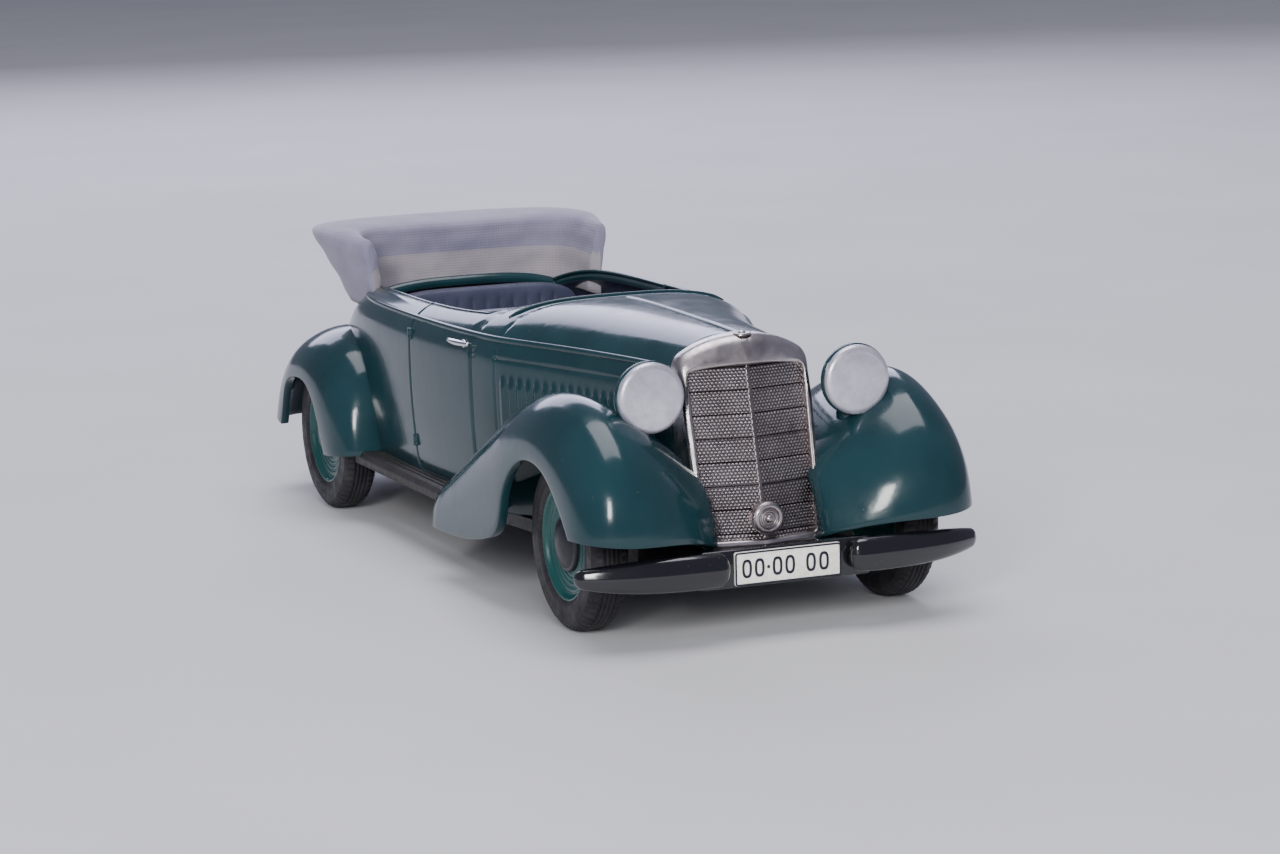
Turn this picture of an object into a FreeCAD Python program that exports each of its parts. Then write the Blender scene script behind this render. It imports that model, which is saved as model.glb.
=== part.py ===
"""Diecast collector car, 1:43: an open four-seat tourer of the 1930s with its hood folded.

Millimetres, +Z up, the car's nose towards -Y, its left side towards +X.  The origin is the middle of
the model's box, on the ground.  Lengthwise places are given from the front axle, as `y_at` says.
"""
import FreeCAD, Part
import Sketcher
import math
import os
import re

Vector = FreeCAD.Vector
Rotation = FreeCAD.Rotation
Placement = FreeCAD.Placement

doc = FreeCAD.newDocument("collector_car")

# ---------------------------------------------------------------- driving dimensions

SIZES = {
    "wheelbase": 66.2,
    "front_axle_back": 12.5,      # front axle behind the front end
    "overall_length": 99.0,
    "tyre_radius": 7.75,
    "tyre_width": 3.5,
    "half_track": 15.0,
    "rim_radius": 5.1,
    "cap_radius": 2.5,
    "axle_radius": 0.75,
    "running_gap": 0.05,
    "sill_height": 6.0,
    "plate_thickness": 1.2,       # of the base plate
    "wall": 1.2,                  # of the body casting
    "wing_wall": 0.9,
    "hood_top": 28.6,
    "lamp_half": 9.9,
    "lamp_height": 20.8,
    "lamp_radius": 3.14,
    "sign_half": 5.07,            # half the width of a registration plate
    "sign_height": 2.96,
    "sign_low": 4.8,
    "seat_half": 4.6,
    "floor_height": 9.5,
    "plinth_spacing": 44.0,
    "plinth_hole": 1.1,
    "screw_radius": 0.8,
    "strap_height": 1.7,
    "seat_length": 4.4,           # of an axle seat, along the car
}
SCREW_SPOTS = (("front", 5.5), ("rear", 74))        # behind the front axle
AXLE_SPOTS = (("front", "0"), ("rear", "wheelbase"))


def fill_sheet():
    """Puts the driving dimensions in the spreadsheet, each with its alias."""
    sheet = doc.addObject("Spreadsheet::Sheet", "Sizes")
    for row, (alias, value) in enumerate(SIZES.items(), start=1):
        sheet.set("A%d" % row, alias)
        sheet.set("B%d" % row, str(value))
        sheet.setAlias("B%d" % row, alias)
    doc.recompute()
    return sheet


sheet = fill_sheet()


def size(alias):
    """A driving dimension as a number."""
    return float(sheet.get(alias))


def formula(text):
    """Turns plain names into spreadsheet references: 'wheelbase / 2' to 'Sizes.wheelbase / 2'."""
    return re.sub(r"\b([a-z][a-z_]*)\b", r"Sizes.\1", str(text))


FRONT_AXLE = "front_axle_back - overall_length / 2"


def y_at(behind_axle):
    """The Y coordinate of a place this far behind the front axle."""
    return size("front_axle_back") - size("overall_length") / 2 + behind_axle


def y_formula(behind_axle):
    """The same place as a formula."""
    return "%s + (%s)" % (FRONT_AXLE, behind_axle)


# ---------------------------------------------------------------- helpers for features

def place(thing, position, rotation=None):
    """Puts an object at a position given as three formulas, turned first."""
    if rotation is not None:
        thing.Placement = Placement(Vector(), rotation)
    for axis, text in zip("xyz", position):
        thing.setExpression("Placement.Base." + axis, formula(text))


def solid_of(kind, label, sizes, position, rotation=None):
    """A Part primitive with its sizes and position bound to the sheet."""
    thing = doc.addObject(kind, label)
    for name, text in sizes.items():
        thing.setExpression(name, formula(text))
    place(thing, position, rotation)
    return thing


def block(label, spans):
    """A box from three (low, high) pairs of formulas, along X, Y and Z."""
    sizes = {name: "(%s) - (%s)" % (high, low)
             for name, (low, high) in zip(("Length", "Width", "Height"), spans)}
    return solid_of("Part::Box", label, sizes, [low for low, high in spans])


def cylinder(label, radius, height, position, rotation=None):
    return solid_of("Part::Cylinder", label, {"Radius": radius, "Height": height}, position, rotation)


def cut(label, base, tool):
    result = doc.addObject("Part::Cut", label)
    result.Base = base
    result.Tool = tool
    return result


def fuse(label, *shapes):
    result = doc.addObject("Part::MultiFuse", label)
    result.Shapes = list(shapes)
    return result


def common(label, base, tool):
    result = doc.addObject("Part::MultiCommon", label)
    result.Shapes = [base, tool]
    return result


def mirrored(label, source):
    """The same piece for the car's other side."""
    mirror = doc.addObject("Part::Mirroring", label)
    mirror.Source = source
    mirror.Normal = Vector(1, 0, 0)
    return mirror


def outline(body, name, role, points):
    """A closed straight-sided sketch on one of the body's origin planes; points are formulas."""
    plane = [f for f in body.Origin.OriginFeatures if f.Role == role][0]
    sketch = body.newObject("Sketcher::SketchObject", name)
    sketch.AttachmentSupport = [(plane, "")]
    sketch.MapMode = "FlatFace"
    values = [tuple(sheet.evalExpression(formula(text)) for text in point) for point in points]
    corners = [Vector(float(across), float(up), 0) for across, up in values]
    count = len(corners)
    for index in range(count):
        sketch.addGeometry(Part.LineSegment(corners[index], corners[(index + 1) % count]), False)
    for index in range(count):
        sketch.addConstraint(Sketcher.Constraint("Coincident", index, 2, (index + 1) % count, 1))
    for index, point in enumerate(points):
        for kind, text, value in zip(("DistanceX", "DistanceY"), point, values[index]):
            number = sketch.addConstraint(Sketcher.Constraint(kind, -1, 1, index, 1, float(value)))
            if not isinstance(text, (int, float)):
                sketch.setExpression("Constraints[%d]" % number, formula(text))
    return sketch


def pad(body, sketch, length, both_ways=False):
    feature = body.newObject("PartDesign::Pad", sketch.Name + "_pad")
    feature.Profile = sketch
    feature.setExpression("Length", formula(length))
    feature.Midplane = both_ways
    doc.recompute()
    return feature


def turned(label, points, position=(0, 0, 0), rotation=None):
    """A body turned about its own X axis; points are (along, out) formulas."""
    body = doc.addObject("PartDesign::Body", label)
    sketch = outline(body, label + "_profile", "XY_Plane", points)
    feature = body.newObject("PartDesign::Revolution", label + "_turn")
    feature.Profile = sketch
    feature.ReferenceAxis = (sketch, ["H_Axis"])
    feature.Angle = 360
    place(body, position, rotation)
    doc.recompute()
    return body


def soften(body, radius, wanted):
    """Rounds the edges of the body's last feature that `wanted` picks."""
    last = body.Tip
    names = ["Edge%d" % (i + 1) for i, edge in enumerate(last.Shape.Edges) if wanted(edge)]
    feature = body.newObject("PartDesign::Fillet", "%s_round_%d" % (body.Name, len(body.Group)))
    feature.Base = (last, names)
    feature.Radius = radius
    doc.recompute()
    return feature


# ---------------------------------------------------------------- helpers for smooth skins

def smoothing_poles(points):
    """Moves a row of points outwards so that a cubic spline on them passes close to the row."""
    poles = list(points)
    for index in range(1, len(points) - 1):
        bend = points[index - 1] - points[index] * 2 + points[index + 1]
        poles[index] = points[index] - bend * (1 / 6)
    return poles


def lifted(net):
    """The same for a net of points, along both its directions."""
    rows = [smoothing_poles(row) for row in net]
    columns = [smoothing_poles([row[i] for row in rows]) for i in range(len(rows[0]))]
    return [list(row) for row in zip(*columns)]


def clamped_knots(count):
    """Knots and multiplicities of a cubic spline with this many poles."""
    spans = count - 3
    return list(range(spans + 1)), [4] + [1] * (spans - 1) + [4]


def spline_surface(net):
    poles = lifted(net)
    along, along_repeats = clamped_knots(len(poles))
    across, across_repeats = clamped_knots(len(poles[0]))
    surface = Part.BSplineSurface()
    surface.buildFromPolesMultsKnots(poles, along_repeats, across_repeats, along, across,
                                     False, False, 3, 3)
    return surface


def border(surface):
    """The four edges of a surface, in a fixed order."""
    low_u, high_u, low_v, high_v = surface.bounds()
    curves = (surface.uIso(low_u), surface.uIso(high_u), surface.vIso(low_v), surface.vIso(high_v))
    return [curve.toShape() for curve in curves]


def closed_solid(faces):
    shell = Part.Shell(faces)
    shell.sewShape()
    solid = Part.Solid(Part.Shell(shell.Faces))
    if solid.Volume < 0:
        solid.reverse()
    return solid


def inner_net(net, thickness):
    """The net moved by a thickness against its own normals."""
    rows, columns = len(net), len(net[0])
    moved = []
    for j in range(rows):
        line = []
        for i in range(columns):
            along = net[min(j + 1, rows - 1)][i] - net[max(j - 1, 0)][i]
            across = net[j][min(i + 1, columns - 1)] - net[j][max(i - 1, 0)]
            line.append(net[j][i] - across.cross(along).normalize() * thickness)
        moved.append(line)
    return moved


def thick_sheet(net, thickness):
    """A curved sheet of even thickness: outer skin, inner skin and four closing strips."""
    outer = spline_surface(net)
    inner = spline_surface(inner_net(net, thickness))
    strips = [Part.makeRuledSurface(a, b) for a, b in zip(border(outer), border(inner))]
    return closed_solid([outer.toShape(), inner.toShape()] + strips)


def feature_of(label, shape):
    piece = doc.addObject("Part::Feature", label)
    piece.Shape = shape
    return piece


# ---------------------------------------------------------------- body casting

# Behind the front axle: half width at the waist, waist height, top height, squareness, half width below.
BODY_STATIONS = [
    (-1.0, 6.0, 17.0, 25.3, 3.2, 5.5),
    (4.0, 6.9, 17.5, 25.5, 3.0, 6.3),
    (10.0, 8.4, 18.0, 25.6, 2.9, 7.6),
    (16.0, 10.2, 18.5, 25.7, 2.9, 9.4),
    (22.0, 12.3, 18.8, 25.7, 3.0, 11.6),
    (26.0, 13.5, 18.8, 25.5, 3.2, 12.9),
    (32.0, 14.3, 18.5, 25.0, 3.6, 13.6),
    (40.0, 14.9, 18.0, 24.6, 4.0, 14.1),
    (50.0, 15.0, 18.0, 24.5, 4.0, 14.1),
    (58.0, 14.6, 18.0, 24.3, 4.0, 13.8),
    (64.0, 13.8, 17.5, 23.8, 3.4, 13.0),
    (70.0, 12.5, 16.0, 21.9, 2.8, 11.8),
    (76.0, 10.8, 13.5, 18.0, 2.4, 10.2),
    (81.0, 9.0, 11.0, 13.2, 2.2, 8.6),
    (84.0, 8.0, 9.0, 10.0, 2.0, 7.8),
]
SIDE_STEPS = 5
ROOF_STEPS = 7


def half_section(width, waist, top, squareness, width_below, bottom, inset=0.0):
    """One side of a cross-section from the sill to the centre line, as (x, z) pairs."""
    points = []
    for step in range(SIDE_STEPS):
        rise = step / SIDE_STEPS
        x = width_below + (width - width_below) * math.sin(math.pi / 2 * rise)
        points.append((x - inset, bottom + (waist - bottom) * rise))
    for step in range(ROOF_STEPS + 1):
        turn = math.pi / 2 * step / ROOF_STEPS
        x = (width - inset) * max(math.cos(turn), 0.0) ** (2 / squareness)
        points.append((x, waist + (top - inset - waist) * math.sin(turn) ** (2 / squareness)))
    return points


def body_solid(stations, bottom, inset=0.0):
    """A closed solid through the stations, flat below and at both ends."""
    net = []
    for behind, width, waist, top, squareness, width_below in stations:
        right = half_section(width, waist, top, squareness, width_below, bottom, inset)
        row = [Vector(-x, y_at(behind), z) for x, z in right]
        row += [Vector(x, y_at(behind), z) for x, z in reversed(right[:-1])]
        net.append(row)
    skin = Part.BSplineSurface()
    skin.interpolate(net)
    front, rear, left, right = border(skin)
    caps = []
    for end in (front, rear):
        low = Part.LineSegment(end.valueAt(end.LastParameter), end.valueAt(end.FirstParameter)).toShape()
        caps.append(Part.Face(Part.Wire([end, low])))
    ties = [Part.LineSegment(left.valueAt(side), right.valueAt(side)).toShape()
            for side in (left.FirstParameter, left.LastParameter)]
    below = Part.Face(Part.Wire(Part.__sortEdges__([left, right] + ties)))
    return closed_solid([skin.toShape(), below] + caps)


COCKPIT = [(-5.5, 27.5), (-9.0, 28.3), (-11.4, 29.8), (-12.2, 33), (-12.7, 40), (-12.8, 48), (-12.6, 56),
           (-11.6, 64), (-8.5, 68.5)]


def make_body():
    """The hollow casting with its cockpit opening, wheel arches, axle notches and screw posts."""
    outer = feature_of("body_envelope", body_solid(BODY_STATIONS, size("sill_height")))
    inner = feature_of("body_hollow", body_solid(BODY_STATIONS[1:-1], size("sill_height") - 1,
                                                 size("wall")))
    corners = [Vector(x, y_at(behind), 12) for x, behind in COCKPIT]
    corners += [Vector(-x, y_at(behind), 12) for x, behind in reversed(COCKPIT)]
    mouth = Part.Face(Part.makePolygon(corners + corners[:1])).extrude(Vector(0, 0, 20))
    opening = feature_of("cockpit_opening", mouth)
    arches = []
    for side, turn in (("left", 90), ("right", -90)):
        reach = Rotation(Vector(0, 1, 0), turn)
        sign = 1 if side == "left" else -1
        arches.append(cylinder("arch_space_" + side, "tyre_radius + 0.85", 8,
                               (12.7 * sign, y_formula("wheelbase"), "tyre_radius"), reach))
    notches = [block("axle_notch_" + end, [(-20, 20), (y_formula("%s - 2.7" % spot),
                                                       y_formula("%s + 2.7" % spot)),
                                           (0, "tyre_radius + 2.1")])
               for end, spot in AXLE_SPOTS]
    hollowed = cut("hollow_body", outer, fuse("body_spaces", inner, opening, *arches, *notches))
    post_heights = {"front": 18.8, "rear": 12.6}
    posts = [cylinder("screw_post_" + end, 1.9, post_heights[end], (0, y_formula(spot), "sill_height"))
             for end, spot in SCREW_SPOTS]
    threads = [cylinder("screw_space_" + end, "screw_radius", 4.0, (0, y_formula(spot), "sill_height - 1"))
               for end, spot in SCREW_SPOTS]
    posted = fuse("posted_body", hollowed, *posts)
    return outer, cut("body_shell", posted, fuse("screw_spaces", *threads))


# ---------------------------------------------------------------- wings and running boards

# Each row runs from the body to the wing's outer edge, as (x, behind the front axle, z);
# the rows run from the front of the wing to its tail.
FRONT_WING = [
    [(4.6, -6.3, 7.1), (6.6, -8.0, 7.9), (9.8, -10.2, 8.8), (13.8, -11.5, 9.2), (16.6, -11.0, 9.4),
     (18.0, -9.4, 9.6), (18.25, -7.5, 9.6)],
    [(4.9, -6.2, 9.0), (7.2, -7.8, 10.2), (10.3, -9.8, 11.6), (14.0, -11.2, 12.3), (16.8, -10.5, 12.2),
     (18.1, -8.5, 12.0), (18.25, -5.8, 11.7)],
    [(5.3, -5.4, 11.2), (7.8, -6.6, 13.2), (10.8, -8.0, 14.9), (14.3, -9.3, 15.7), (16.9, -8.6, 15.3),
     (18.2, -6.3, 14.4), (18.25, -3.6, 13.6)],
    [(5.5, -3.4, 12.6), (8.2, -4.2, 15.1), (11.2, -5.0, 17.3), (14.6, -5.8, 18.5), (17.0, -5.0, 17.6),
     (18.2, -3.3, 16.0), (18.25, -1.4, 14.8)],
    [(5.6, 0.0, 13.2), (8.6, -0.3, 15.9), (11.8, -0.6, 18.5), (15.0, -0.8, 20.1), (17.2, -0.3, 18.9),
     (18.25, 0.6, 16.8), (18.25, 1.6, 15.2)],
    [(6.6, 5.0, 13.4), (9.2, 5.0, 16.0), (12.2, 5.0, 18.4), (15.2, 5.0, 19.5), (17.3, 5.0, 18.3),
     (18.25, 5.0, 16.2), (18.25, 5.0, 14.3)],
    [(8.0, 10.0, 13.0), (10.2, 10.0, 15.2), (12.9, 10.0, 17.0), (15.4, 10.0, 17.6), (17.4, 9.8, 16.4),
     (18.25, 9.2, 14.2), (18.25, 8.3, 11.2)],
    [(9.6, 14.0, 12.2), (11.4, 14.0, 13.9), (13.6, 14.0, 15.3), (15.6, 14.0, 15.8), (17.5, 13.2, 14.4),
     (18.25, 11.6, 11.9), (18.25, 9.5, 7.6)],
    [(11.0, 18.0, 10.8), (12.6, 18.0, 12.4), (14.2, 18.0, 13.5), (15.8, 18.0, 13.7), (17.5, 17.4, 12.2),
     (18.2, 16.0, 9.6), (18.2, 14.5, 5.9)],
    [(12.0, 22.5, 9.2), (13.2, 22.5, 10.4), (14.6, 22.5, 11.2), (16.0, 22.5, 11.2), (17.4, 22.3, 9.8),
     (18.1, 21.8, 7.8), (18.2, 21.0, 5.0)],
    [(12.8, 27.3, 7.4), (13.8, 27.3, 8.2), (15.0, 27.3, 8.7), (16.1, 27.3, 8.5), (17.2, 27.3, 7.8),
     (17.9, 27.3, 6.6), (18.1, 27.3, 4.8)],
]
REAR_WING = [
    [(13.2, 56.3, 6.6), (14.3, 56.3, 6.7), (15.6, 56.5, 6.8), (16.7, 57.0, 6.8), (17.3, 58.0, 6.7),
     (17.6, 59.4, 6.6), (17.6, 61.0, 6.5)],
    [(13.4, 56.6, 9.4), (14.6, 56.7, 9.6), (15.9, 57.0, 9.7), (16.9, 57.6, 9.6), (17.5, 58.7, 9.3),
     (17.75, 60.2, 8.9), (17.75, 61.6, 8.6)],
    [(13.5, 57.3, 12.2), (14.7, 57.5, 12.4), (15.9, 57.9, 12.3), (17.0, 58.7, 11.9), (17.6, 59.9, 11.4),
     (17.85, 61.3, 10.9), (17.85, 62.5, 10.6)],
    [(13.5, 58.8, 14.8), (14.7, 59.0, 14.8), (15.9, 59.4, 14.5), (17.0, 60.2, 13.9), (17.7, 61.4, 13.2),
     (17.9, 62.7, 12.6), (17.9, 63.8, 12.2)],
    [(13.4, 61.5, 16.7), (14.6, 61.6, 16.7), (15.9, 61.9, 16.3), (17.1, 62.5, 15.5), (17.8, 63.4, 14.6),
     (18.0, 64.4, 13.8), (18.0, 65.2, 13.3)],
    [(13.1, 65.5, 17.8), (14.4, 65.5, 17.7), (15.8, 65.6, 17.2), (17.1, 65.9, 16.3), (17.8, 66.4, 15.2),
     (18.0, 67.0, 14.3), (18.0, 67.6, 13.6)],
    [(12.6, 70.0, 17.4), (13.9, 70.0, 17.3), (15.4, 70.0, 16.8), (16.8, 70.1, 15.9), (17.6, 70.4, 14.8),
     (17.9, 70.8, 13.8), (17.9, 71.2, 13.0)],
    [(11.6, 74.5, 15.4), (13.0, 74.6, 15.3), (14.6, 74.6, 14.8), (16.2, 74.4, 14.0), (17.2, 74.2, 13.0),
     (17.6, 74.0, 12.0), (17.6, 73.6, 11.0)],
    [(10.6, 78.2, 11.8), (12.0, 78.4, 11.7), (13.8, 78.4, 11.3), (15.5, 78.0, 10.8), (16.8, 77.3, 10.3),
     (17.3, 76.4, 9.7), (17.3, 75.2, 9.0)],
    [(9.8, 80.2, 8.0), (11.2, 80.6, 7.8), (13.1, 80.6, 7.6), (14.9, 80.2, 7.6), (16.4, 79.3, 7.6),
     (17.1, 78.0, 7.6), (17.2, 76.2, 7.4)],
]


def make_wings(envelope, radiator):
    """Four wings, each trimmed by the body and the radiator and kept clear of the rear wheel."""
    wings = []
    wheel_space = cylinder("rear_wheel_space", "tyre_radius + 0.4", "tyre_width + 0.5",
                           ("half_track - tyre_width / 2 - 0.25", y_formula("wheelbase"), "tyre_radius"),
                           Rotation(Vector(0, 1, 0), 90))
    neighbours = fuse("wing_neighbours", envelope, radiator, wheel_space)
    for end, rows in (("front", FRONT_WING), ("rear", REAR_WING)):
        net = [[Vector(x, y_at(behind), z) for x, behind, z in row] for row in rows]
        sheet_piece = feature_of(end + "_wing_sheet", thick_sheet(net, size("wing_wall")))
        trimmed = cut(end + "_wing_trimmed", sheet_piece, neighbours)
        doc.recompute()
        outside = max(trimmed.Shape.Solids, key=lambda solid: solid.Volume)
        left = feature_of(end + "_wing_left", outside)
        wings += [left, mirrored(end + "_wing_right", left)]
    return wings


def make_running_boards(envelope):
    """A plain board along each sill, between the wings."""
    board = block("board_blank", [(9, 16.3), (y_formula(25), y_formula(57.2)), ("sill_height", 7.4)])
    wings = [piece for piece in doc.Objects if piece.Label in ("front_wing_left", "rear_wing_left")]
    left = cut("running_board_left", board, fuse("board_neighbours", envelope, *wings))
    return [left, mirrored("running_board_right", left)]


# ---------------------------------------------------------------- radiator

def plan_wire(height, nose, half, side, back):
    """The V-fronted plan of the radiator at one height."""
    points = [(0, nose), (half, side), (half, back), (-half, back), (-half, side)]
    corners = [Vector(x, y_at(behind), height) for x, behind in points]
    return Part.makePolygon(corners + corners[:1])


def v_front(low, high):
    """A straight-sided body between two V-fronted plans."""
    return Part.makeLoft([plan_wire(*low), plan_wire(*high)], True, True)


def arch_outline(half_low, half_high, low, shoulder, top, depth=40):
    """A tall outline with a low arched top, extruded lengthwise through everything."""
    rim = [Part.LineSegment(Vector(-half_high, 0, shoulder), Vector(-half_low, 0, low)),
           Part.LineSegment(Vector(-half_low, 0, low), Vector(half_low, 0, low)),
           Part.LineSegment(Vector(half_low, 0, low), Vector(half_high, 0, shoulder)),
           Part.Arc(Vector(half_high, 0, shoulder), Vector(0, 0, top), Vector(-half_high, 0, shoulder))]
    face = Part.Face(Part.Wire([piece.toShape() for piece in rim]))
    face.translate(Vector(0, y_at(-20), 0))
    return face.extrude(Vector(0, depth, 0))


def make_radiator():
    """The plated shell, the grille in its recess, the boss at the foot and the cap on top.

    Shell and grille are notched behind, where the front axle's seat and strap stand.
    """
    outer = v_front((7.0, -7.5, 6.3, -6.1, -1.0), (26.0, -3.1, 7.9, -1.7, -1.0))
    shell = outer.common(arch_outline(5.9, 6.35, 7.0, 23.3, 25.45))
    core = v_front((7.0, -6.9, 5.6, -5.6, -2.0), (26.0, -2.5, 6.6, -1.2, -0.2))
    mouth = v_front((7.0, -9.0, 5.6, -8.0, -2.0), (26.0, -6.0, 6.6, -5.0, -0.9))
    window = arch_outline(5.35, 5.6, 7.8, 22.0, 23.3)
    notch = block("radiator_notch", [(-12, 12), (y_formula("-seat_length / 2 - 0.1"), y_formula(3)),
                                     (0, "tyre_radius + strap_height + 0.1")])
    frame = cut("radiator_shell", feature_of("shell_blank", shell.cut(mouth.common(window))), notch)
    grille = cut("radiator_grille", feature_of("grille_blank", core.common(mouth).common(window)), notch)
    boss = turned("grille_boss", [(0, 0), (1.1, 0), (1.1, 0.55), (0.8, 0.75), (0.8, 1.05), (0.5, 1.33),
                                  (0, 1.33)],
                  (0, y_formula(-6.55), 9.65), Rotation(Vector(0, 0, 1), -90))
    cap_blank = turned("cap_blank", [(-0.1, 0), (-0.1, 0.85), (0.2, 0.85), (0.35, 0.5), (0.35, 0)],
                       (0, y_formula(-2.2), 25.43), Rotation(Vector(0, 1, 0), -90))
    return [frame, grille, boss, cut("radiator_cap", cap_blank, frame)]


# ---------------------------------------------------------------- lamps

def make_headlamps():
    """Two lamps, each a shell, a polished disc and a pedestal standing on the wing."""
    backwards = Rotation(Vector(0, 0, 1), 90)
    upright = Rotation(Vector(0, 1, 0), -90)
    pieces = []
    for side, sign in (("left", 1), ("right", -1)):
        across = "%d * lamp_half" % sign
        shell = turned("headlamp_shell_" + side,
                       [(0, 0), (0, "lamp_radius - 0.1"), (0.5, "lamp_radius - 0.2"), (1.3, 2.7),
                        (2.6, 2.15), (3.9, 1.3), (4.6, 0.6), (4.8, 0)],
                       (across, y_formula(-4.6), "lamp_height"), backwards)
        disc = turned("headlamp_disc_" + side,
                      [(0, 0), (-0.8, 0), (-0.72, 1.4), (-0.5, "lamp_radius - 0.45"),
                       (-0.3, "lamp_radius"), (0, "lamp_radius")],
                      (across, y_formula(-4.6), "lamp_height"), backwards)
        post = turned("pedestal_blank_" + side,
                      [(-8, 0), (-8, 1.15), (-4.6, 1.15), (-4.2, 0.85), (-3.6, 1.0), (-2.0, 1.0), (-2, 0)],
                      (across, y_formula(-2.9), "lamp_height"), upright)
        doc.recompute()
        trimmed = post.Shape.cut([shell.Shape, doc.getObject("front_wing_" + side).Shape])
        above_wing = max(trimmed.Solids, key=lambda solid: solid.CenterOfMass.z)
        pieces += [shell, disc, feature_of("headlamp_pedestal_" + side, above_wing)]
    return pieces


# ---------------------------------------------------------------- bumpers and plates

def bar_through(points):
    """A rounded bar: elliptical sections (x, behind the axle, z, half height, half depth)."""
    wires = []
    for x, behind, z, tall, deep in points:
        ellipse = Part.Ellipse(Vector(0, 0, 0), tall, deep).toShape()
        wire = Part.Wire([ellipse])
        wire.Placement = Placement(Vector(x, y_at(behind), z),
                                   Rotation(Vector(0, 0, 1), Vector(0, 1, 0), Vector(1, 0, 0), "ZXY"))
        wires.append(wire)
    return Part.makeLoft(wires, True, False)


# Sections of a bumper half from its inner to its outer end, as bar_through takes them.
FRONT_BUMPER = [(5.7, -11.45, 6.5, 1.0, 0.6), (6.3, -11.5, 6.5, 1.5, 0.85), (9.5, -11.45, 6.5, 1.55, 0.9),
                (13.5, -11.1, 6.5, 1.45, 0.85), (17.0, -10.3, 6.5, 1.15, 0.7),
                (18.9, -9.4, 6.5, 0.8, 0.55), (19.3, -9.2, 6.5, 0.4, 0.3)]
REAR_BUMPER = [(5.7, 85.45, 6.5, 1.0, 0.6), (6.3, 85.5, 6.5, 1.5, 0.85), (8.0, 85.45, 6.5, 1.5, 0.9),
               (10.0, 85.1, 6.5, 1.3, 0.8), (11.6, 84.6, 6.5, 0.9, 0.6), (12.1, 84.4, 6.5, 0.4, 0.3)]


def make_bumpers():
    """Front and rear bumper halves, with a plate on its holder between each pair."""
    pieces = []
    for end, rows in (("front", FRONT_BUMPER), ("rear", REAR_BUMPER)):
        back = end == "rear"
        left = feature_of(end + "_bumper_left", bar_through(rows))
        pieces += [left, mirrored(end + "_bumper_right", left)]
        near, far = ("84.0", "84.8") if back else ("-10.8", "-10.0")
        face, rear_face = ("84.8", "85.2") if back else ("-11.2", "-10.8")
        blank = block(end + "_holder_blank", [("-sign_half - 3", "sign_half + 3"),
                                              (y_formula(near), y_formula(far)),
                                              ("sign_low - 0.2", "sign_low + sign_height + 0.2")])
        holder = cut(end + "_plate_holder", blank, fuse(end + "_bumper_pair", *pieces[-2:]))
        plate = block(end + "_plate", [("-sign_half", "sign_half"), (y_formula(face), y_formula(rear_face)),
                                       ("sign_low", "sign_low + sign_height")])
        pieces += [holder, plate]
    return pieces


# ---------------------------------------------------------------- base plate and axles

def make_base():
    """The base plate with an axle seat at each end, its plinth holes and its two screws."""
    body = doc.addObject("PartDesign::Body", "base_casting")
    half = [(5.7, -10.0), (8.2, -8.0), (10.4, -3.0), (10.4, 12.0), (12.2, 25.0), (12.2, 60.0), (11.2, 74.0),
            (8.0, 82.5), (5.7, 84.0)]
    points = [(x, y_formula(behind)) for x, behind in half]
    points += [(-x, y_formula(behind)) for x, behind in reversed(half)]
    pad(body, outline(body, "base_outline", "XY_Plane", points), "plate_thickness")
    for end, spot in AXLE_SPOTS:
        low, high = y_formula("%s - seat_length / 2" % spot), y_formula("%s + seat_length / 2" % spot)
        sketch = outline(body, end + "_seat_outline", "XY_Plane",
                         [(-10.4, low), (10.4, low), (10.4, high), (-10.4, high)])
        pad(body, sketch, "tyre_radius - sill_height + plate_thickness")
    place(body, (0, 0, "sill_height - plate_thickness"))
    doc.recompute()
    seats = [cylinder(end + "_axle_space", "axle_radius + running_gap", 30,
                      (-15, y_formula(spot), "tyre_radius"), Rotation(Vector(0, 1, 0), 90))
             for end, spot in AXLE_SPOTS]
    holes = [cylinder("hole_plinth_" + end, "plinth_hole", 6, (0, y_formula(spot), 3))
             for end, spot in (("front", "33 - plinth_spacing / 2"), ("rear", "33 + plinth_spacing / 2"))]
    holes += [cylinder("hole_screw_" + end, "screw_radius", 6, (0, y_formula(spot), 3))
              for end, spot in SCREW_SPOTS]
    return cut("base_plate", body, fuse("base_spaces", *seats, *holes))


def make_axle_straps():
    """A strap over each axle closes its seat."""
    straps = []
    for end, spot in AXLE_SPOTS:
        low, high = y_formula("%s - seat_length / 2" % spot), y_formula("%s + seat_length / 2" % spot)
        blank = block(end + "_strap_blank", [(-10.4, 10.4), (low, high),
                                             ("tyre_radius", "tyre_radius + strap_height")])
        space = cylinder(end + "_strap_space", "axle_radius + running_gap", 30,
                         (-15, y_formula(spot), "tyre_radius"), Rotation(Vector(0, 1, 0), 90))
        straps.append(cut(end + "_axle_strap", blank, space))
    return straps


# ---------------------------------------------------------------- wheels

TYRE = [("-tyre_width / 2 + 0.25", "rim_radius"), ("-tyre_width / 2", "rim_radius + 0.5"),
        ("-tyre_width / 2", "tyre_radius - 0.9"), ("-tyre_width / 2 + 0.35", "tyre_radius - 0.25"),
        ("-tyre_width / 2 + 0.95", "tyre_radius"), ("tyre_width / 2 - 0.95", "tyre_radius"),
        ("tyre_width / 2 - 0.35", "tyre_radius - 0.25"), ("tyre_width / 2", "tyre_radius - 0.9"),
        ("tyre_width / 2", "rim_radius + 0.5"), ("tyre_width / 2 - 0.25", "rim_radius")]
DISC = [(-1.5, "axle_radius"), (-1.5, 1.6), (0.1, 1.6), (0.1, "rim_radius - 0.7"),
        ("0.25 - tyre_width / 2", "rim_radius - 0.7"), ("0.25 - tyre_width / 2", "rim_radius"),
        ("tyre_width / 2 - 0.25", "rim_radius"), ("tyre_width / 2 - 0.3", "rim_radius - 0.3"),
        (0.95, "rim_radius - 0.7"), (0.8, "cap_radius + 0.5"), (1.0, "cap_radius"), (1.0, "axle_radius")]
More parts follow.
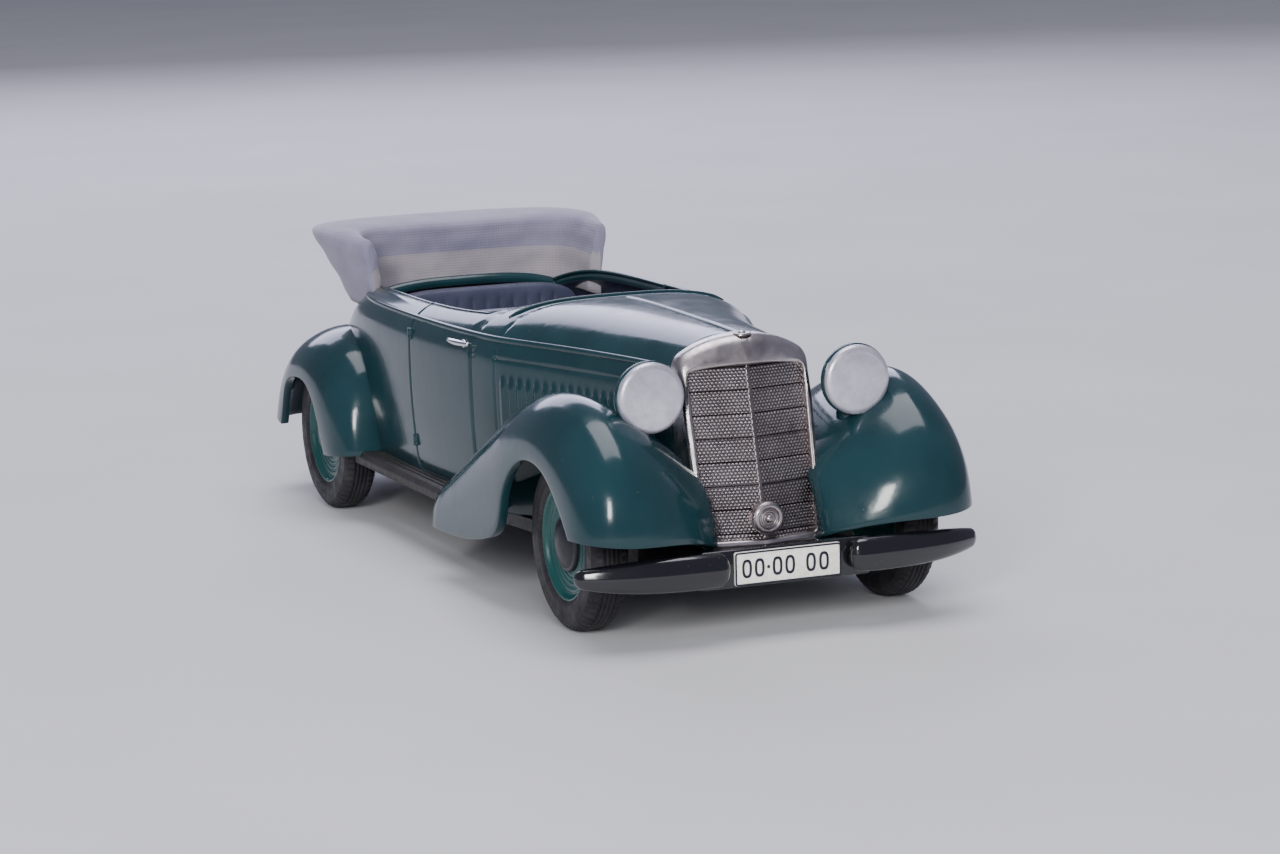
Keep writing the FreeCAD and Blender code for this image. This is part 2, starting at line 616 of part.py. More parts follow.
CAP = [(1.0, 0), (1.0, "cap_radius"), (1.35, "cap_radius"), (1.75, 1.9), (2.0, 1.0), (2.05, 0)]


def make_wheels():
    """Two axles, each with two tyres, two pressed discs and two hub caps."""
    pieces = []
    outward = {"left": Rotation(), "right": Rotation(Vector(0, 0, 1), 180)}
    for end, spot in AXLE_SPOTS:
        pieces.append(cylinder(end + "_axle", "axle_radius", "2 * half_track + 1.6",
                               ("-half_track - 0.8", y_formula(spot), "tyre_radius"),
                               Rotation(Vector(0, 1, 0), 90)))
        for side, sign in (("left", 1), ("right", -1)):
            middle = ("%d * half_track" % sign, y_formula(spot), "tyre_radius")
            for name, points in (("tyre", TYRE), ("wheel_disc", DISC), ("hub_cap", CAP)):
                pieces.append(turned("%s_%s_%s" % (name, end, side), points, middle, outward[side]))
    return pieces


def make_spare(envelope):
    """The spare wheel, let into the sloping tail."""
    lean = Placement(Vector(0, y_at(80.1), 15.5), Rotation(Vector(0, 0, 1), 90).multiply(
        Rotation(Vector(0, 1, 0), -35)))
    pieces = []
    for name, source in (("tyre", "tyre_rear_left"), ("wheel_disc", "wheel_disc_rear_left"),
                         ("hub_cap", "hub_cap_rear_left")):
        wheel_piece = doc.getObject(source)
        upright = wheel_piece.Placement.inverse()
        blank = doc.addObject("Part::Feature", "spare_blank_" + name)
        shape = wheel_piece.Shape.copy()
        shape.Placement = lean.multiply(upright.multiply(shape.Placement))
        blank.Shape = shape
        pieces.append(cut("spare_" + name, blank, envelope) if name != "hub_cap" else blank)
    pieces[-1].Label = "spare_hub_cap"
    return pieces


# ---------------------------------------------------------------- interior

def lengthways_profile(label, points, half):
    """A body of even width whose side view has these (behind the front axle, z) points."""
    body = doc.addObject("PartDesign::Body", label)
    sketch = outline(body, label + "_profile", "YZ_Plane",
                     [(y_formula(behind), z) for behind, z in points])
    pad(body, sketch, "2 * (%s)" % half, both_ways=True)
    return body


def is_crosswise(edge):
    box = edge.BoundBox
    return box.XLength > 5 and box.YLength < 0.01 and box.ZLength < 0.01


def make_seats():
    """Two front seats and the rear bench, each a cushion and a leaning back in one moulding."""
    side_view = [(35.0, "floor_height"), (35.0, 13.8), (41.8, 13.0), (43.9, 22.4), (45.7, 22.4),
                 (45.2, "floor_height")]
    left = lengthways_profile("front_seat_left", side_view, "seat_half")
    soften(left, 0.8, lambda edge: is_crosswise(edge) and edge.BoundBox.ZMin > 12)
    place(left, ("seat_half + 0.8", 0, 0))
    bench_view = [(54.5, "floor_height"), (54.5, 14.4), (60.8, 13.6), (62.4, 22.2), (64.2, 22.2),
                  (64.0, "floor_height")]
    bench = lengthways_profile("rear_bench", bench_view, 10.6)
    soften(bench, 0.8, lambda edge: is_crosswise(edge) and edge.BoundBox.ZMin > 12)
    return [left, mirrored("front_seat_right", left), bench]


def make_floor():
    """The interior's floor moulding: a shallow tray standing on the base plate."""
    floor = doc.addObject("PartDesign::Body", "floor_blank")
    half = [(10.4, 24.5), (12.0, 36.0), (12.0, 56.0), (11.2, 63.5)]
    points = [(x, y_formula(behind)) for x, behind in half]
    points += [(-x, y_formula(behind)) for x, behind in reversed(half)]
    pad(floor, outline(floor, "floor_outline", "XY_Plane", points), "floor_height - sill_height")
    place(floor, (0, 0, "sill_height"))
    hollow = block("floor_hollow", [(-9.0, 9.0), (y_formula(26.5), y_formula(61.5)),
                                    ("sill_height - 1", "floor_height - 1")])
    return cut("interior_floor", floor, hollow)


def make_controls(shell):
    """Dashboard, steering wheel on its column, and gear lever."""
    board_blank = block("board_panel", [(-11.0, 11.0), (y_formula(26.2), y_formula(27.4)), (19.6, 24.0)])
    board = cut("dashboard", board_blank, shell)
    ring = solid_of("Part::Torus", "wheel_ring", {"Radius1": 3.2, "Radius2": 0.32}, (0, 0, 0))
    hub = cylinder("wheel_hub", 0.8, 0.6, (0, 0, -0.3))
    spokes = [block("wheel_spoke_long", [(-3.2, 3.2), (-0.3, 0.3), (-0.15, 0.15)]),
              block("wheel_spoke_short", [(-0.3, 0.3), (-3.2, 0), (-0.15, 0.15)])]
    wheel = fuse("steering_wheel", ring, hub, *spokes)
    tilt = Rotation(Vector(1, 0, 0), -78)
    middle = Vector(5.4, y_at(33.0), 21.2)
    place(wheel, tuple(middle), tilt)
    column_top = middle + tilt.multVec(Vector(0, 0, -0.3))
    column = cylinder("column_blank", 0.45, 5.8, tuple(column_top), Rotation(Vector(1, 0, 0), 180 - 78))
    trimmed = cut("steering_column", column, board)
    stem = cylinder("lever_stem", 0.3, 6.2, (0, y_formula(32.0), "floor_height"))
    knob = solid_of("Part::Sphere", "lever_knob", {"Radius": 0.7},
                    (0, y_formula(32.0), "floor_height + 6.4"))
    return [board, wheel, trimmed, fuse("gear_lever", stem, knob)]


# ---------------------------------------------------------------- folded hood

# Plans of the folded hood at four heights: its outer edge from the arm's front end to the rear,
# then its inner edge back to the front end, as (x, behind the front axle).
HOOD_LEVELS = [
    (-7.1, [(12.6, 62.0), (12.9, 66.0), (12.4, 70.0), (10.4, 74.0), (6.0, 76.0)],
     [(6.0, 70.2), (9.6, 69.8), (11.3, 67.0), (11.3, 62.0)]),
    (-3.8, [(13.0, 61.6), (13.8, 66.0), (13.9, 70.0), (12.2, 75.0), (7.0, 77.0)],
     [(6.0, 69.8), (9.8, 69.4), (11.4, 66.8), (11.5, 61.6)]),
    (-0.5, [(13.3, 61.3), (15.0, 66.0), (15.7, 70.5), (13.8, 76.5), (8.0, 79.0)],
     [(6.0, 69.5), (10.0, 69.1), (11.7, 66.5), (12.0, 61.3)]),
    (0.0, [(12.9, 61.7), (14.4, 66.2), (15.0, 70.5), (13.3, 76.0), (7.8, 78.3)],
     [(6.0, 70.2), (10.2, 69.8), (12.3, 66.8), (12.4, 61.7)]),
]


def make_hood(envelope, spare):
    """The hood lies folded round the rear of the cockpit, flaring out above a narrow neck."""
    plans = []
    for below_top, outer, inner in HOOD_LEVELS:
        height = size("hood_top") + below_top
        half = [Vector(x, y_at(behind), height) for x, behind in outer]
        far_half = [Vector(-point.x, point.y, height) for point in reversed(half)]
        edge = [Vector(x, y_at(behind), height) for x, behind in inner]
        far_edge = [Vector(-point.x, point.y, height) for point in reversed(edge)]
        points = half + far_half + far_edge + edge
        plans.append(Part.makePolygon(points + points[:1]))
    folded = feature_of("hood_blank", Part.makeLoft(plans, True, True))
    return cut("folded_hood", folded, fuse("hood_neighbours", envelope, spare))


# ---------------------------------------------------------------- trim

def both_sides(label, blank, neighbour):
    """Small pieces let into their neighbour on the left, with their mirror images, as one group."""
    left = cut(label + "_left", blank, neighbour)
    group = doc.addObject("Part::Compound", label)
    group.Links = [left, mirrored(label + "_right", left)]
    return group


def make_trim(envelope):
    """Cowl rail, door handles, door hinges, tail lamps and exhaust pipe."""
    raised = feature_of("envelope_raised", envelope.Shape.translated(Vector(0, 0, 0.55)))
    slab = block("rail_slab", [(-11.0, 11.0), (y_formula(25.9), y_formula(26.8)), (20, 30)])
    rail = cut("cowl_rail", common("rail_blank", slab, raised), envelope)
    handle = block("handle_blank", [(12.5, 14.75), (y_formula(29.5), y_formula(33.8)), (21.1, 21.8)])
    handles = both_sides("door_handles", handle, envelope)
    hinge = fuse("hinge_blank", *[block("hinge_blank_%d" % number,
                                        [(13.0, reach), (y_formula(42.7), y_formula(43.5)),
                                         (z - 0.55, z + 0.55)])
                                  for number, (z, reach) in enumerate(((20.9, 15.35), (10.4, 15.05)))])
    hinges = both_sides("door_hinges", hinge, envelope)
    wing = doc.getObject("rear_wing_left")
    lamp = turned("tail_lamp_blank", [(0, 0), (0, 0.95), (1.4, 0.95), (1.8, 0.6), (1.9, 0)],
                  (13.4, y_formula(79.0), 9.8), Rotation(Vector(0, 0, 1), 90))
    lamps = both_sides("tail_lamps", lamp, wing)
    pipe = cylinder("exhaust_pipe", 0.55, 53.7,
                    (-6, y_formula(83.7), "sill_height - plate_thickness - 0.55"),
                    Rotation(Vector(1, 0, 0), 90))
    return [rail, handles, hinges, lamps, pipe]


def make_screws():
    """The two screws that hold the base plate to the body's posts."""
    side_view = [(0, 0), (0, 1.3), (0.4, 1.5), (0.5, 1.5), (0.5, "screw_radius"), (4.5, "screw_radius"),
                 (4.5, 0)]
    screws = [turned("screw_" + end, side_view, (0, y_formula(spot), "sill_height - plate_thickness - 0.5"),
                     Rotation(Vector(0, 1, 0), -90))
              for end, spot in SCREW_SPOTS]
    group = doc.addObject("Part::Compound", "base_screws")
    group.Links = screws
    return group


# ---------------------------------------------------------------- whole model

def make_car():
    envelope, shell = make_body()
    radiator = make_radiator()
    nodes = [shell] + radiator + make_wings(envelope, radiator[0]) + make_running_boards(envelope)
    doc.recompute()
    nodes += make_headlamps() + make_bumpers() + [make_base()] + make_axle_straps() + make_wheels()
    doc.recompute()
    spare = make_spare(envelope)
    nodes += spare + [make_floor()] + make_seats() + make_controls(shell)
    nodes += [make_hood(envelope, spare[0])] + make_trim(envelope) + [make_screws()]
    doc.recompute()
    return nodes


def check(nodes):
    """Stops if anything in the document failed or a piece isn't a sound solid."""
    failed = [thing.Label for thing in doc.Objects
              if "Invalid" in thing.State or "Error" in thing.State]
    failed += [node.Label for node in nodes
               if node.Shape.isNull() or not node.Shape.isValid() or not node.Shape.Solids]
    if failed:
        raise RuntimeError("failed: " + ", ".join(failed))


def write(nodes):
    os.makedirs("parts", exist_ok=True)
    for node in nodes:
        node.Shape.exportStep("parts/%s.step" % node.Label)
        print("%-26s solids %d  volume %9.2f mm3" % (node.Label, len(node.Shape.Solids),
                                                     node.Shape.Volume))


pieces = make_car()
check(pieces)
write(pieces)
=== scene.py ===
"""The looks of the 1:43 collector car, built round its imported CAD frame.

Lengths are written in millimetres and become metres where they are used; only the floor and the lights
are placed in metres.  `y_at` gives the Y of a place so far behind the front axle; +X is the car's left,
and a net for one side is mirrored for the other.
"""
import bmesh
import bpy
import math
import numpy as np
from mathutils import Matrix, Vector


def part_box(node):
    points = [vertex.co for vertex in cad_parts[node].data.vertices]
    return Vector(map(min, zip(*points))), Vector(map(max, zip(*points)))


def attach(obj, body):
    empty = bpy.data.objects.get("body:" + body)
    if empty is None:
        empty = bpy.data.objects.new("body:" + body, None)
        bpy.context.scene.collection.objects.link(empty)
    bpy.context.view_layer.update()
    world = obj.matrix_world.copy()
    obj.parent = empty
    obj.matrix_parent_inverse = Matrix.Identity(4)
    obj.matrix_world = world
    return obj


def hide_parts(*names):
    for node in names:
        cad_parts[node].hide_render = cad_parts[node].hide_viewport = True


MM = 0.001
MIRROR = np.array([-1.0, 1.0, 1.0])
SIDES = (("left", np.ones(3)), ("right", MIRROR))
ENDS = (("front", 1), ("rear", -1))

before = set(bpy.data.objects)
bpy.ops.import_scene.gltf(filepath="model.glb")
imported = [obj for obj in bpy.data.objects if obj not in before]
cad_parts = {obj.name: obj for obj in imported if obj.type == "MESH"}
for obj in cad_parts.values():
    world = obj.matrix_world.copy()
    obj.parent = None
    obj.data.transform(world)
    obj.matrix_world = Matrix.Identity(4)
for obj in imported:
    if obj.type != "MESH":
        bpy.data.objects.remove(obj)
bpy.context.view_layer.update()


# ---------------------------------------------------------------- places taken from the frame

def box_mm(node):
    """A CAD node's lowest and highest corners, in millimetres."""
    low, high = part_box(node)
    return np.array(low) / MM, np.array(high) / MM


def centre_mm(node):
    low, high = box_mm(node)
    return (low + high) / 2


FRONT_AXLE = centre_mm("front_axle")
REAR_AXLE = centre_mm("rear_axle")
WHEELBASE = REAR_AXLE[1] - FRONT_AXLE[1]
TYRE_RADIUS = FRONT_AXLE[2]
SILL = box_mm("body_shell")[0][2]
HOOD_TOP = box_mm("folded_hood")[1][2]
LAMP = centre_mm("headlamp_disc_left")


def y_at(behind):
    return FRONT_AXLE[1] + behind


# ---------------------------------------------------------------- splines and grids

def spline_weights(count, samples):
    """Weights of a clamped cubic spline's poles at evenly spread places."""
    knots = np.concatenate([[0] * 3, np.arange(count - 2), [count - 3] * 3]).astype(float)
    at = np.linspace(0, count - 3, samples)
    at[-1] -= 1e-9
    weights = ((knots[None, :-1] <= at[:, None]) & (at[:, None] < knots[None, 1:])).astype(float)
    for degree in (1, 2, 3):
        next_weights = np.zeros((samples, weights.shape[1] - 1))
        for i in range(weights.shape[1] - 1):
            rise = knots[i + degree] - knots[i]
            fall = knots[i + degree + 1] - knots[i + 1]
            if rise > 0:
                next_weights[:, i] += (at - knots[i]) / rise * weights[:, i]
            if fall > 0:
                next_weights[:, i] += (knots[i + degree + 1] - at) / fall * weights[:, i + 1]
        weights = next_weights
    return weights


def lifted(rows):
    """Moves each inner row out so that the spline passes close to the given points."""
    poles = rows.copy()
    poles[1:-1] -= (rows[:-2] - 2 * rows[1:-1] + rows[2:]) / 6
    return poles


def smooth_line(points, samples):
    points = np.array(points, float)
    return spline_weights(len(points), samples) @ lifted(points)


def smooth_sheet(net, along, across):
    """A dense grid through a net of points."""
    net = np.array(net, float)
    poles = lifted(net)
    poles = lifted(poles.transpose(1, 0, 2)).transpose(1, 0, 2)
    down = spline_weights(net.shape[0], along)
    over = spline_weights(net.shape[1], across)
    return np.einsum("ai,bj,ijk->abk", down, over, poles)


def run_length(line):
    """The distance along a line of points, at each of them."""
    return np.concatenate([[0], np.cumsum(np.linalg.norm(np.diff(line, axis=0), axis=1))])


def softened(value, power):
    """A sine or cosine raised to a power, with its sign kept; a low power squares a circle off."""
    return np.sign(value) * np.abs(value) ** power


def smooth_step(value, low, high):
    t = np.clip((value - low) / (high - low), 0, 1)
    return t * t * (3 - 2 * t)


def normals_of(grid):
    along = np.gradient(grid, axis=0)
    across = np.gradient(grid, axis=1)
    normal = np.cross(along, across)
    return normal / np.maximum(np.linalg.norm(normal, axis=2, keepdims=True), 1e-12)


# ---------------------------------------------------------------- meshes

def face_outwards(mesh):
    """Turns every face of a closed mesh to face outwards."""
    work = bmesh.new()
    work.from_mesh(mesh)
    bmesh.ops.recalc_face_normals(work, faces=work.faces)
    work.to_mesh(mesh)
    work.free()


def add_mesh(name, points, faces, material, node=None, body="car", open_sheet=False):
    """A smooth-shaded object from points in millimetres, in place of a CAD node if one is named."""
    mesh = bpy.data.meshes.new(name)
    mesh.from_pydata((np.asarray(points, float) * MM).tolist(), [], faces)
    mesh.materials.append(material)
    mesh.shade_smooth()
    if not open_sheet:
        face_outwards(mesh)
    piece = bpy.data.objects.new(name, mesh)
    bpy.context.scene.collection.objects.link(piece)
    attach(piece, body)
    if node is not None:
        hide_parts(node)
    return piece


def grid_faces(rows, columns, close_rows=False, close_columns=False, caps=False, keep=None, start=0):
    """The faces of a grid of points; caps close its first and last rows."""
    faces = []
    for j in range(rows if close_rows else rows - 1):
        for i in range(columns if close_columns else columns - 1):
            if keep is None or keep[j, i]:
                row, next_row = start + j * columns, start + (j + 1) % rows * columns
                i2 = (i + 1) % columns
                faces.append([row + i, row + i2, next_row + i2, next_row + i])
    if caps:
        faces.append([start + i for i in range(columns)][::-1])
        faces.append([start + (rows - 1) * columns + i for i in range(columns)])
    return faces


def grid_piece(name, grid, material, node=None, body="car", close_rows=False, close_columns=False, keep=None,
               caps=False, open_sheet=False):
    """An object from one grid of points."""
    faces = grid_faces(*grid.shape[:2], close_rows, close_columns, caps, keep)
    return add_mesh(name, grid.reshape(-1, 3), faces, material, node, body, open_sheet)


def capped(grid):
    """A grid whose rows are loops, with both its ends closed."""
    return grid, False, True, True


def looped(grid):
    """A grid whose rows are loops, left as it is at its ends."""
    return grid, False, True, False


def spun(grid):
    """A grid turned about an axis that it reaches itself."""
    return grid, True, False, False


def hollow(grid):
    """A grid that closes on itself both ways."""
    return grid, True, True, False


def joined(name, pieces, material, node=None):
    """One object from several grids, each as capped, looped, spun or hollow gives it."""
    points, faces, start = [], [], 0
    for grid, close_rows, close_columns, caps in pieces:
        faces += grid_faces(*grid.shape[:2], close_rows, close_columns, caps, start=start)
        points.append(grid.reshape(-1, 3))
        start += grid.shape[0] * grid.shape[1]
    return add_mesh(name, np.concatenate(points), faces, material, node)


def solidify(piece, thickness, inner=None):
    """Gives a sheet its wall; the inner side can have a material of its own."""
    modifier = piece.modifiers.new("wall", "SOLIDIFY")
    modifier.thickness = thickness * MM
    modifier.use_even_offset = True
    if inner is not None:
        piece.data.materials.append(inner)
        modifier.material_offset = 1


def bevel(piece, width, angle=35):
    modifier = piece.modifiers.new("edges", "BEVEL")
    modifier.width = width * MM
    modifier.segments = 2
    modifier.limit_method = "ANGLE"
    modifier.angle_limit = math.radians(angle)


def add_relief(piece, values):
    """Stores how far each point stands out, from 0 to 1, for the material's patina."""
    layer = piece.data.attributes.new("relief", "FLOAT", "POINT")
    layer.data.foreach_set("value", np.asarray(values, np.float32).ravel())


def basis(axis):
    """Two unit vectors square to an axis."""
    axis = np.array(axis, float)
    axis /= np.linalg.norm(axis)
    helper = np.array([0.0, 0.0, 1.0]) if abs(axis[2]) < 0.9 else np.array([0.0, 1.0, 0.0])
    first = np.cross(helper, axis)
    first /= np.linalg.norm(first)
    return axis, first, np.cross(axis, first)


def turned(profile, centre, axis, steps=96, wobble=None):
    """A profile of (along, out) points turned about an axis, as a grid with a row at each angle."""
    axis, first, second = basis(axis)
    profile = np.array(profile, float)
    angles = np.linspace(0, 2 * math.pi, steps, endpoint=False)
    out = np.repeat(profile[:, 1:2], steps, axis=1)
    along = np.repeat(profile[:, 0:1], steps, axis=1)
    if wobble is not None:
        out = out + wobble(along, out, angles[None, :])
    ring = np.cos(angles)[:, None] * first + np.sin(angles)[:, None] * second
    grid = np.array(centre) + along[..., None] * axis + out[..., None] * ring[None]
    return grid.transpose(1, 0, 2)


def lathe(name, profile, centre, axis, material, node=None, steps=96, body="car", relief=None):
    """A turned piece, closed on its axis or into a ring by its own profile."""
    piece = grid_piece(name, turned(profile, centre, axis, steps), material, node, body, close_rows=True)
    if relief is not None:
        add_relief(piece, np.full(len(piece.data.vertices), relief))
    return piece


def rounded_profile(points, radius, steps=5):
    """Rounds the corners of an open line of (along, out) points."""
    points = [np.array(p, float) for p in points]
    line = [points[0]]
    for before, corner, after in zip(points, points[1:], points[2:]):
        back, forth = before - corner, after - corner
        reach = min(radius, np.linalg.norm(back) / 2, np.linalg.norm(forth) / 2)
        start = corner + back / np.linalg.norm(back) * reach
        end = corner + forth / np.linalg.norm(forth) * reach
        for t in np.linspace(0, 1, steps):
            line.append((1 - t) ** 2 * start + 2 * t * (1 - t) * corner + t ** 2 * end)
    line.append(points[-1])
    return line


def tube(path, radius, sides, flat=1.0, up=(0, 0, 1)):
    """A grid of rings along a path; flat squeezes it along `up`."""
    path = np.array(path, float)
    tangent = np.gradient(path, axis=0)
    tangent /= np.linalg.norm(tangent, axis=1, keepdims=True)
    up = np.array(up, float)
    side = np.cross(tangent, up)
    side /= np.linalg.norm(side, axis=1, keepdims=True)
    over = np.cross(side, tangent)
    angles = np.linspace(0, 2 * math.pi, sides, endpoint=False)
    radius = np.broadcast_to(radius, (len(path),))[:, None, None]
    ring = (np.cos(angles)[None, :, None] * side[:, None] + flat * np.sin(angles)[None, :, None]
            * over[:, None])
    return path[:, None] + radius * ring


def cushion_block(low, high, squareness=5.0, along=60, around=96):
    """A rounded block as a closed grid: rounded rectangles from its right side to its left."""
    low, high = np.array(low, float), np.array(high, float)
    across = np.sin(np.linspace(-math.pi / 2, math.pi / 2, along))
    size = (1 - np.abs(across) ** squareness) ** (1 / squareness)
    turn = np.linspace(-math.pi, math.pi, around, endpoint=False)
    reach = (np.abs(np.cos(turn)) ** squareness + np.abs(np.sin(turn)) ** squareness) ** (-1 / squareness)
    unit = np.stack([np.repeat(across[:, None], around, axis=1), np.outer(size, reach * np.cos(turn)),
                     np.outer(size, reach * np.sin(turn))], axis=2)
    return (low + high) / 2 + unit * (high - low) / 2


# ---------------------------------------------------------------- materials

def shader(name, colour, roughness, metallic, coat, coat_roughness, specular):
    """A material with its Principled node's plain values set."""
    material = bpy.data.materials.new(name)
    material.use_nodes = True
    node = material.node_tree.nodes["Principled BSDF"]
    node.inputs["Base Color"].default_value = (*colour, 1)
    values = {"Roughness": roughness, "Metallic": metallic, "Coat Weight": coat,
              "Coat Roughness": coat_roughness, "Specular IOR Level": specular}
    for socket, value in values.items():
        node.inputs[socket].default_value = value
    return material, node


def add_node(material, kind, **values):
    """A node of this kind with its sockets' plain values set."""
    node = material.node_tree.nodes.new("ShaderNode" + kind)
    for socket, value in values.items():
        node.inputs[socket].default_value = value
    return node


def link(material, source, target):
    material.node_tree.links.new(source, target)


def texture(material, kind, size, **values):
    """A texture whose pattern is about this many millimetres across."""
    node = add_node(material, kind, Scale=1 / (size * MM), **values)
    link(material, add_node(material, "TexCoord").outputs["Object"], node.inputs["Vector"])
    return node


def noise(material, size, detail=3.0, roughness=0.5):
    return texture(material, "TexNoise", size, Detail=detail, Roughness=roughness).outputs["Fac"]


def ramp(material, source, stops):
    """Colours or greys against a value; stops are (place, colour)."""
    node = add_node(material, "ValToRGB")
    for element, (place, colour) in zip(node.color_ramp.elements, stops):
        element.position = place
        element.color = (*colour, 1)
    link(material, source, node.inputs["Fac"])
    return node.outputs["Color"]


def grey(value):
    return (value, value, value)


def mixed(material, factor, first, second):
    """A colour mix of two sockets or colours."""
    node = add_node(material, "Mix")
    node.data_type = "RGBA"
    link(material, factor, node.inputs["Factor"])
    sockets = [s for s in node.inputs if s.type == "RGBA"]
    for socket, value in zip(sockets, (first, second)):
        if isinstance(value, tuple):
            socket.default_value = (*value, 1)
        else:
            link(material, value, socket)
    return [s for s in node.outputs if s.type == "RGBA"][0]


def mottled(material, size, low, high, places, detail=3.0, roughness=0.5):
    """Two colours or greys that run into each other in lumps of this size."""
    colours = [grey(end) if isinstance(end, float) else end for end in (low, high)]
    return ramp(material, noise(material, size, detail, roughness), list(zip(places, colours)))


def bump(material, shader_node, height, distance, strength=1.0):
    """Fine relief of this many millimetres on the surface."""
    node = add_node(material, "Bump", Distance=distance * MM, Strength=strength)
    link(material, height, node.inputs["Height"])
    link(material, node.outputs["Normal"], shader_node.inputs["Normal"])


def specks(material, spacing, reach):
    """White where there is a small speck, black elsewhere."""
    distance = texture(material, "TexVoronoi", spacing).outputs["Distance"]
    return ramp(material, distance, [(0.0, grey(1)), (reach, grey(0))])


def wave(material, direction, size):
    node = texture(material, "TexWave", size * 10 / math.pi, Distortion=0.6, Detail=1.0)
    node.bands_direction = direction
    return node.outputs["Color"]


def finish(name, colour, roughness, cloud=None, dust=None, rough=None, grain=None, metallic=0.0, coat=0.0,
           coat_roughness=0.05, specular=0.5):
    """A material of clouds of colour, dust specks, uneven gloss and a fine grain, each only if asked for.

    cloud and rough are what `mottled` takes, dust is (spacing, reach, colour), and grain is
    (size, detail, depth).
    """
    material, node = shader(name, colour, roughness, metallic, coat, coat_roughness, specular)
    paint = mottled(material, *cloud) if cloud else colour
    if dust:
        paint = mixed(material, specks(material, *dust[:2]), paint, dust[2])
    if cloud or dust:
        link(material, paint, node.inputs["Base Color"])
    if rough:
        link(material, mottled(material, *rough), node.inputs["Roughness"])
    if grain:
        bump(material, node, noise(material, *grain[:2]), grain[2])
    return material, node


def enamel(name, colour, darker, roughness=0.15, speck=0.035):
    """Gloss enamel: slight cloudiness, orange peel, and a little dust."""
    return finish(name, colour, roughness, (6.0, darker, colour, (0.35, 0.65)),
                  (1.3, speck, (0.25, 0.29, 0.28)),
                  (2.5, roughness * 0.8, roughness * 1.5, (0.3, 0.75), 4.0), (1.1, 2.0, 0.012),
                  coat=0.2, coat_roughness=0.04, specular=0.36)[0]


def black_gloss():
    return finish("black_gloss", (0.006, 0.006, 0.008), 0.14, None, (0.9, 0.06, (0.12, 0.12, 0.12)),
                  (1.5, 0.10, 0.26, (0.3, 0.8)), (0.8, 3.0, 0.010), coat=0.7)[0]


def old_nickel():
    """Dull plating: warm grey metal, browner where the relief is low, with unevenly spread roughness."""
    material, node = finish("old_nickel", (0.45, 0.42, 0.39), 0.34, rough=(1.2, 0.24, 0.46, (0.3, 0.75), 4.0),
                            grain=(0.35, 4.0, 0.015), metallic=1.0)
    relief = add_node(material, "Attribute")
    relief.attribute_name = "relief"
    patina = mottled(material, 3.0, (0.45, 0.395, 0.39), (0.66, 0.61, 0.61), (0.3, 0.7), 5.0)
    low = ramp(material, relief.outputs["Fac"], [(0.0, grey(0)), (0.75, grey(1))])
    link(material, mixed(material, low, (0.060, 0.042, 0.044), patina), node.inputs["Base Color"])
    return material


def satin_aluminium():
    return finish("satin_aluminium", (0.74, 0.71, 0.80), 0.36,
                  (1.6, (0.63, 0.60, 0.68), (0.81, 0.78, 0.87), (0.35, 0.68), 6.0, 0.65), None,
                  (0.5, 0.30, 0.48, (0.3, 0.8), 5.0), (0.22, 5.0, 0.010), metallic=0.75)[0]


def bright_metal(name, colour, roughness):
    rough = (0.8, roughness * 0.7, roughness * 1.6, (0.3, 0.8), 4.0)
    return finish(name, colour, roughness, rough=rough, grain=(0.5, 3.0, 0.006), metallic=1.0)[0]


def rubber():
    return finish("tyre_rubber", (0.022, 0.021, 0.024), 0.52,
                  (2.0, (0.014, 0.013, 0.015), (0.034, 0.032, 0.036), (0.35, 0.7), 4.0),
                  (0.6, 0.05, (0.20, 0.19, 0.18)), (0.9, 0.38, 0.66, (0.3, 0.75), 4.0), (0.18, 4.0, 0.02),
                  specular=0.25)[0]


def moulded(name, colour, lighter, roughness, grain=0.25):
    """Satin moulded plastic with a fine grain."""
    return finish(name, colour, roughness, (4.0, colour, lighter, (0.35, 0.7)), None,
                  (0.6, roughness * 0.85, roughness * 1.2, (0.3, 0.8), 4.0), (grain, 3.0, 0.02),
                  specular=0.35)[0]


def canvas(name, colour, shade):
    """Painted cloth texture: a fine weave, faded unevenly."""
    material, node = finish(name, colour, 0.78, (3.5, shade, colour, (0.3, 0.7), 5.0))
    node.inputs["Sheen Weight"].default_value = 0.25
    weave = mixed(material, noise(material, 0.3, 2.0), wave(material, "X", 0.28), wave(material, "Z", 0.28))
    bump(material, node, weave, 0.03, 0.7)
    return material


def plate_cream():
    return finish("plate_enamel", (0.88, 0.86, 0.78), 0.55,
                  (0.3, (0.78, 0.76, 0.66), (0.94, 0.92, 0.85), (0.35, 0.65), 5.0),
                  grain=(0.2, 4.0, 0.012))[0]


def tail_red():
    material, node = finish("tail_red", (0.30, 0.008, 0.008), 0.12,
                            (0.6, (0.20, 0.004, 0.004), (0.42, 0.014, 0.010), (0.3, 0.7)), coat=0.8)
    bump(material, node, wave(material, "X", 0.25), 0.02)
    return material


GREEN = enamel("body_enamel", (0.010, 0.037, 0.044), (0.007, 0.028, 0.034))
WHEEL_GREEN = enamel("wheel_enamel", (0.012, 0.072, 0.068), (0.008, 0.054, 0.052), 0.28, 0.03)
BLACK = black_gloss()
CAP_BLACK = moulded("cap_black", (0.010, 0.010, 0.014), (0.018, 0.018, 0.024), 0.34)
NICKEL = old_nickel()
SATIN = satin_aluminium()
CHROME = bright_metal("polished_trim", (0.74, 0.75, 0.78), 0.12)
STEEL = bright_metal("plain_steel", (0.46, 0.46, 0.48), 0.30)
RUBBER = rubber()
INTERIOR = moulded("interior_slate", (0.036, 0.040, 0.070), (0.050, 0.055, 0.090), 0.48)
DASH = moulded("dash_satin", (0.020, 0.021, 0.026), (0.032, 0.033, 0.040), 0.36)
BASE = moulded("base_paint", (0.016, 0.016, 0.018), (0.026, 0.026, 0.028), 0.42, 0.5)
BOARD = moulded("board_rubber", (0.022, 0.020, 0.018), (0.034, 0.030, 0.028), 0.50)
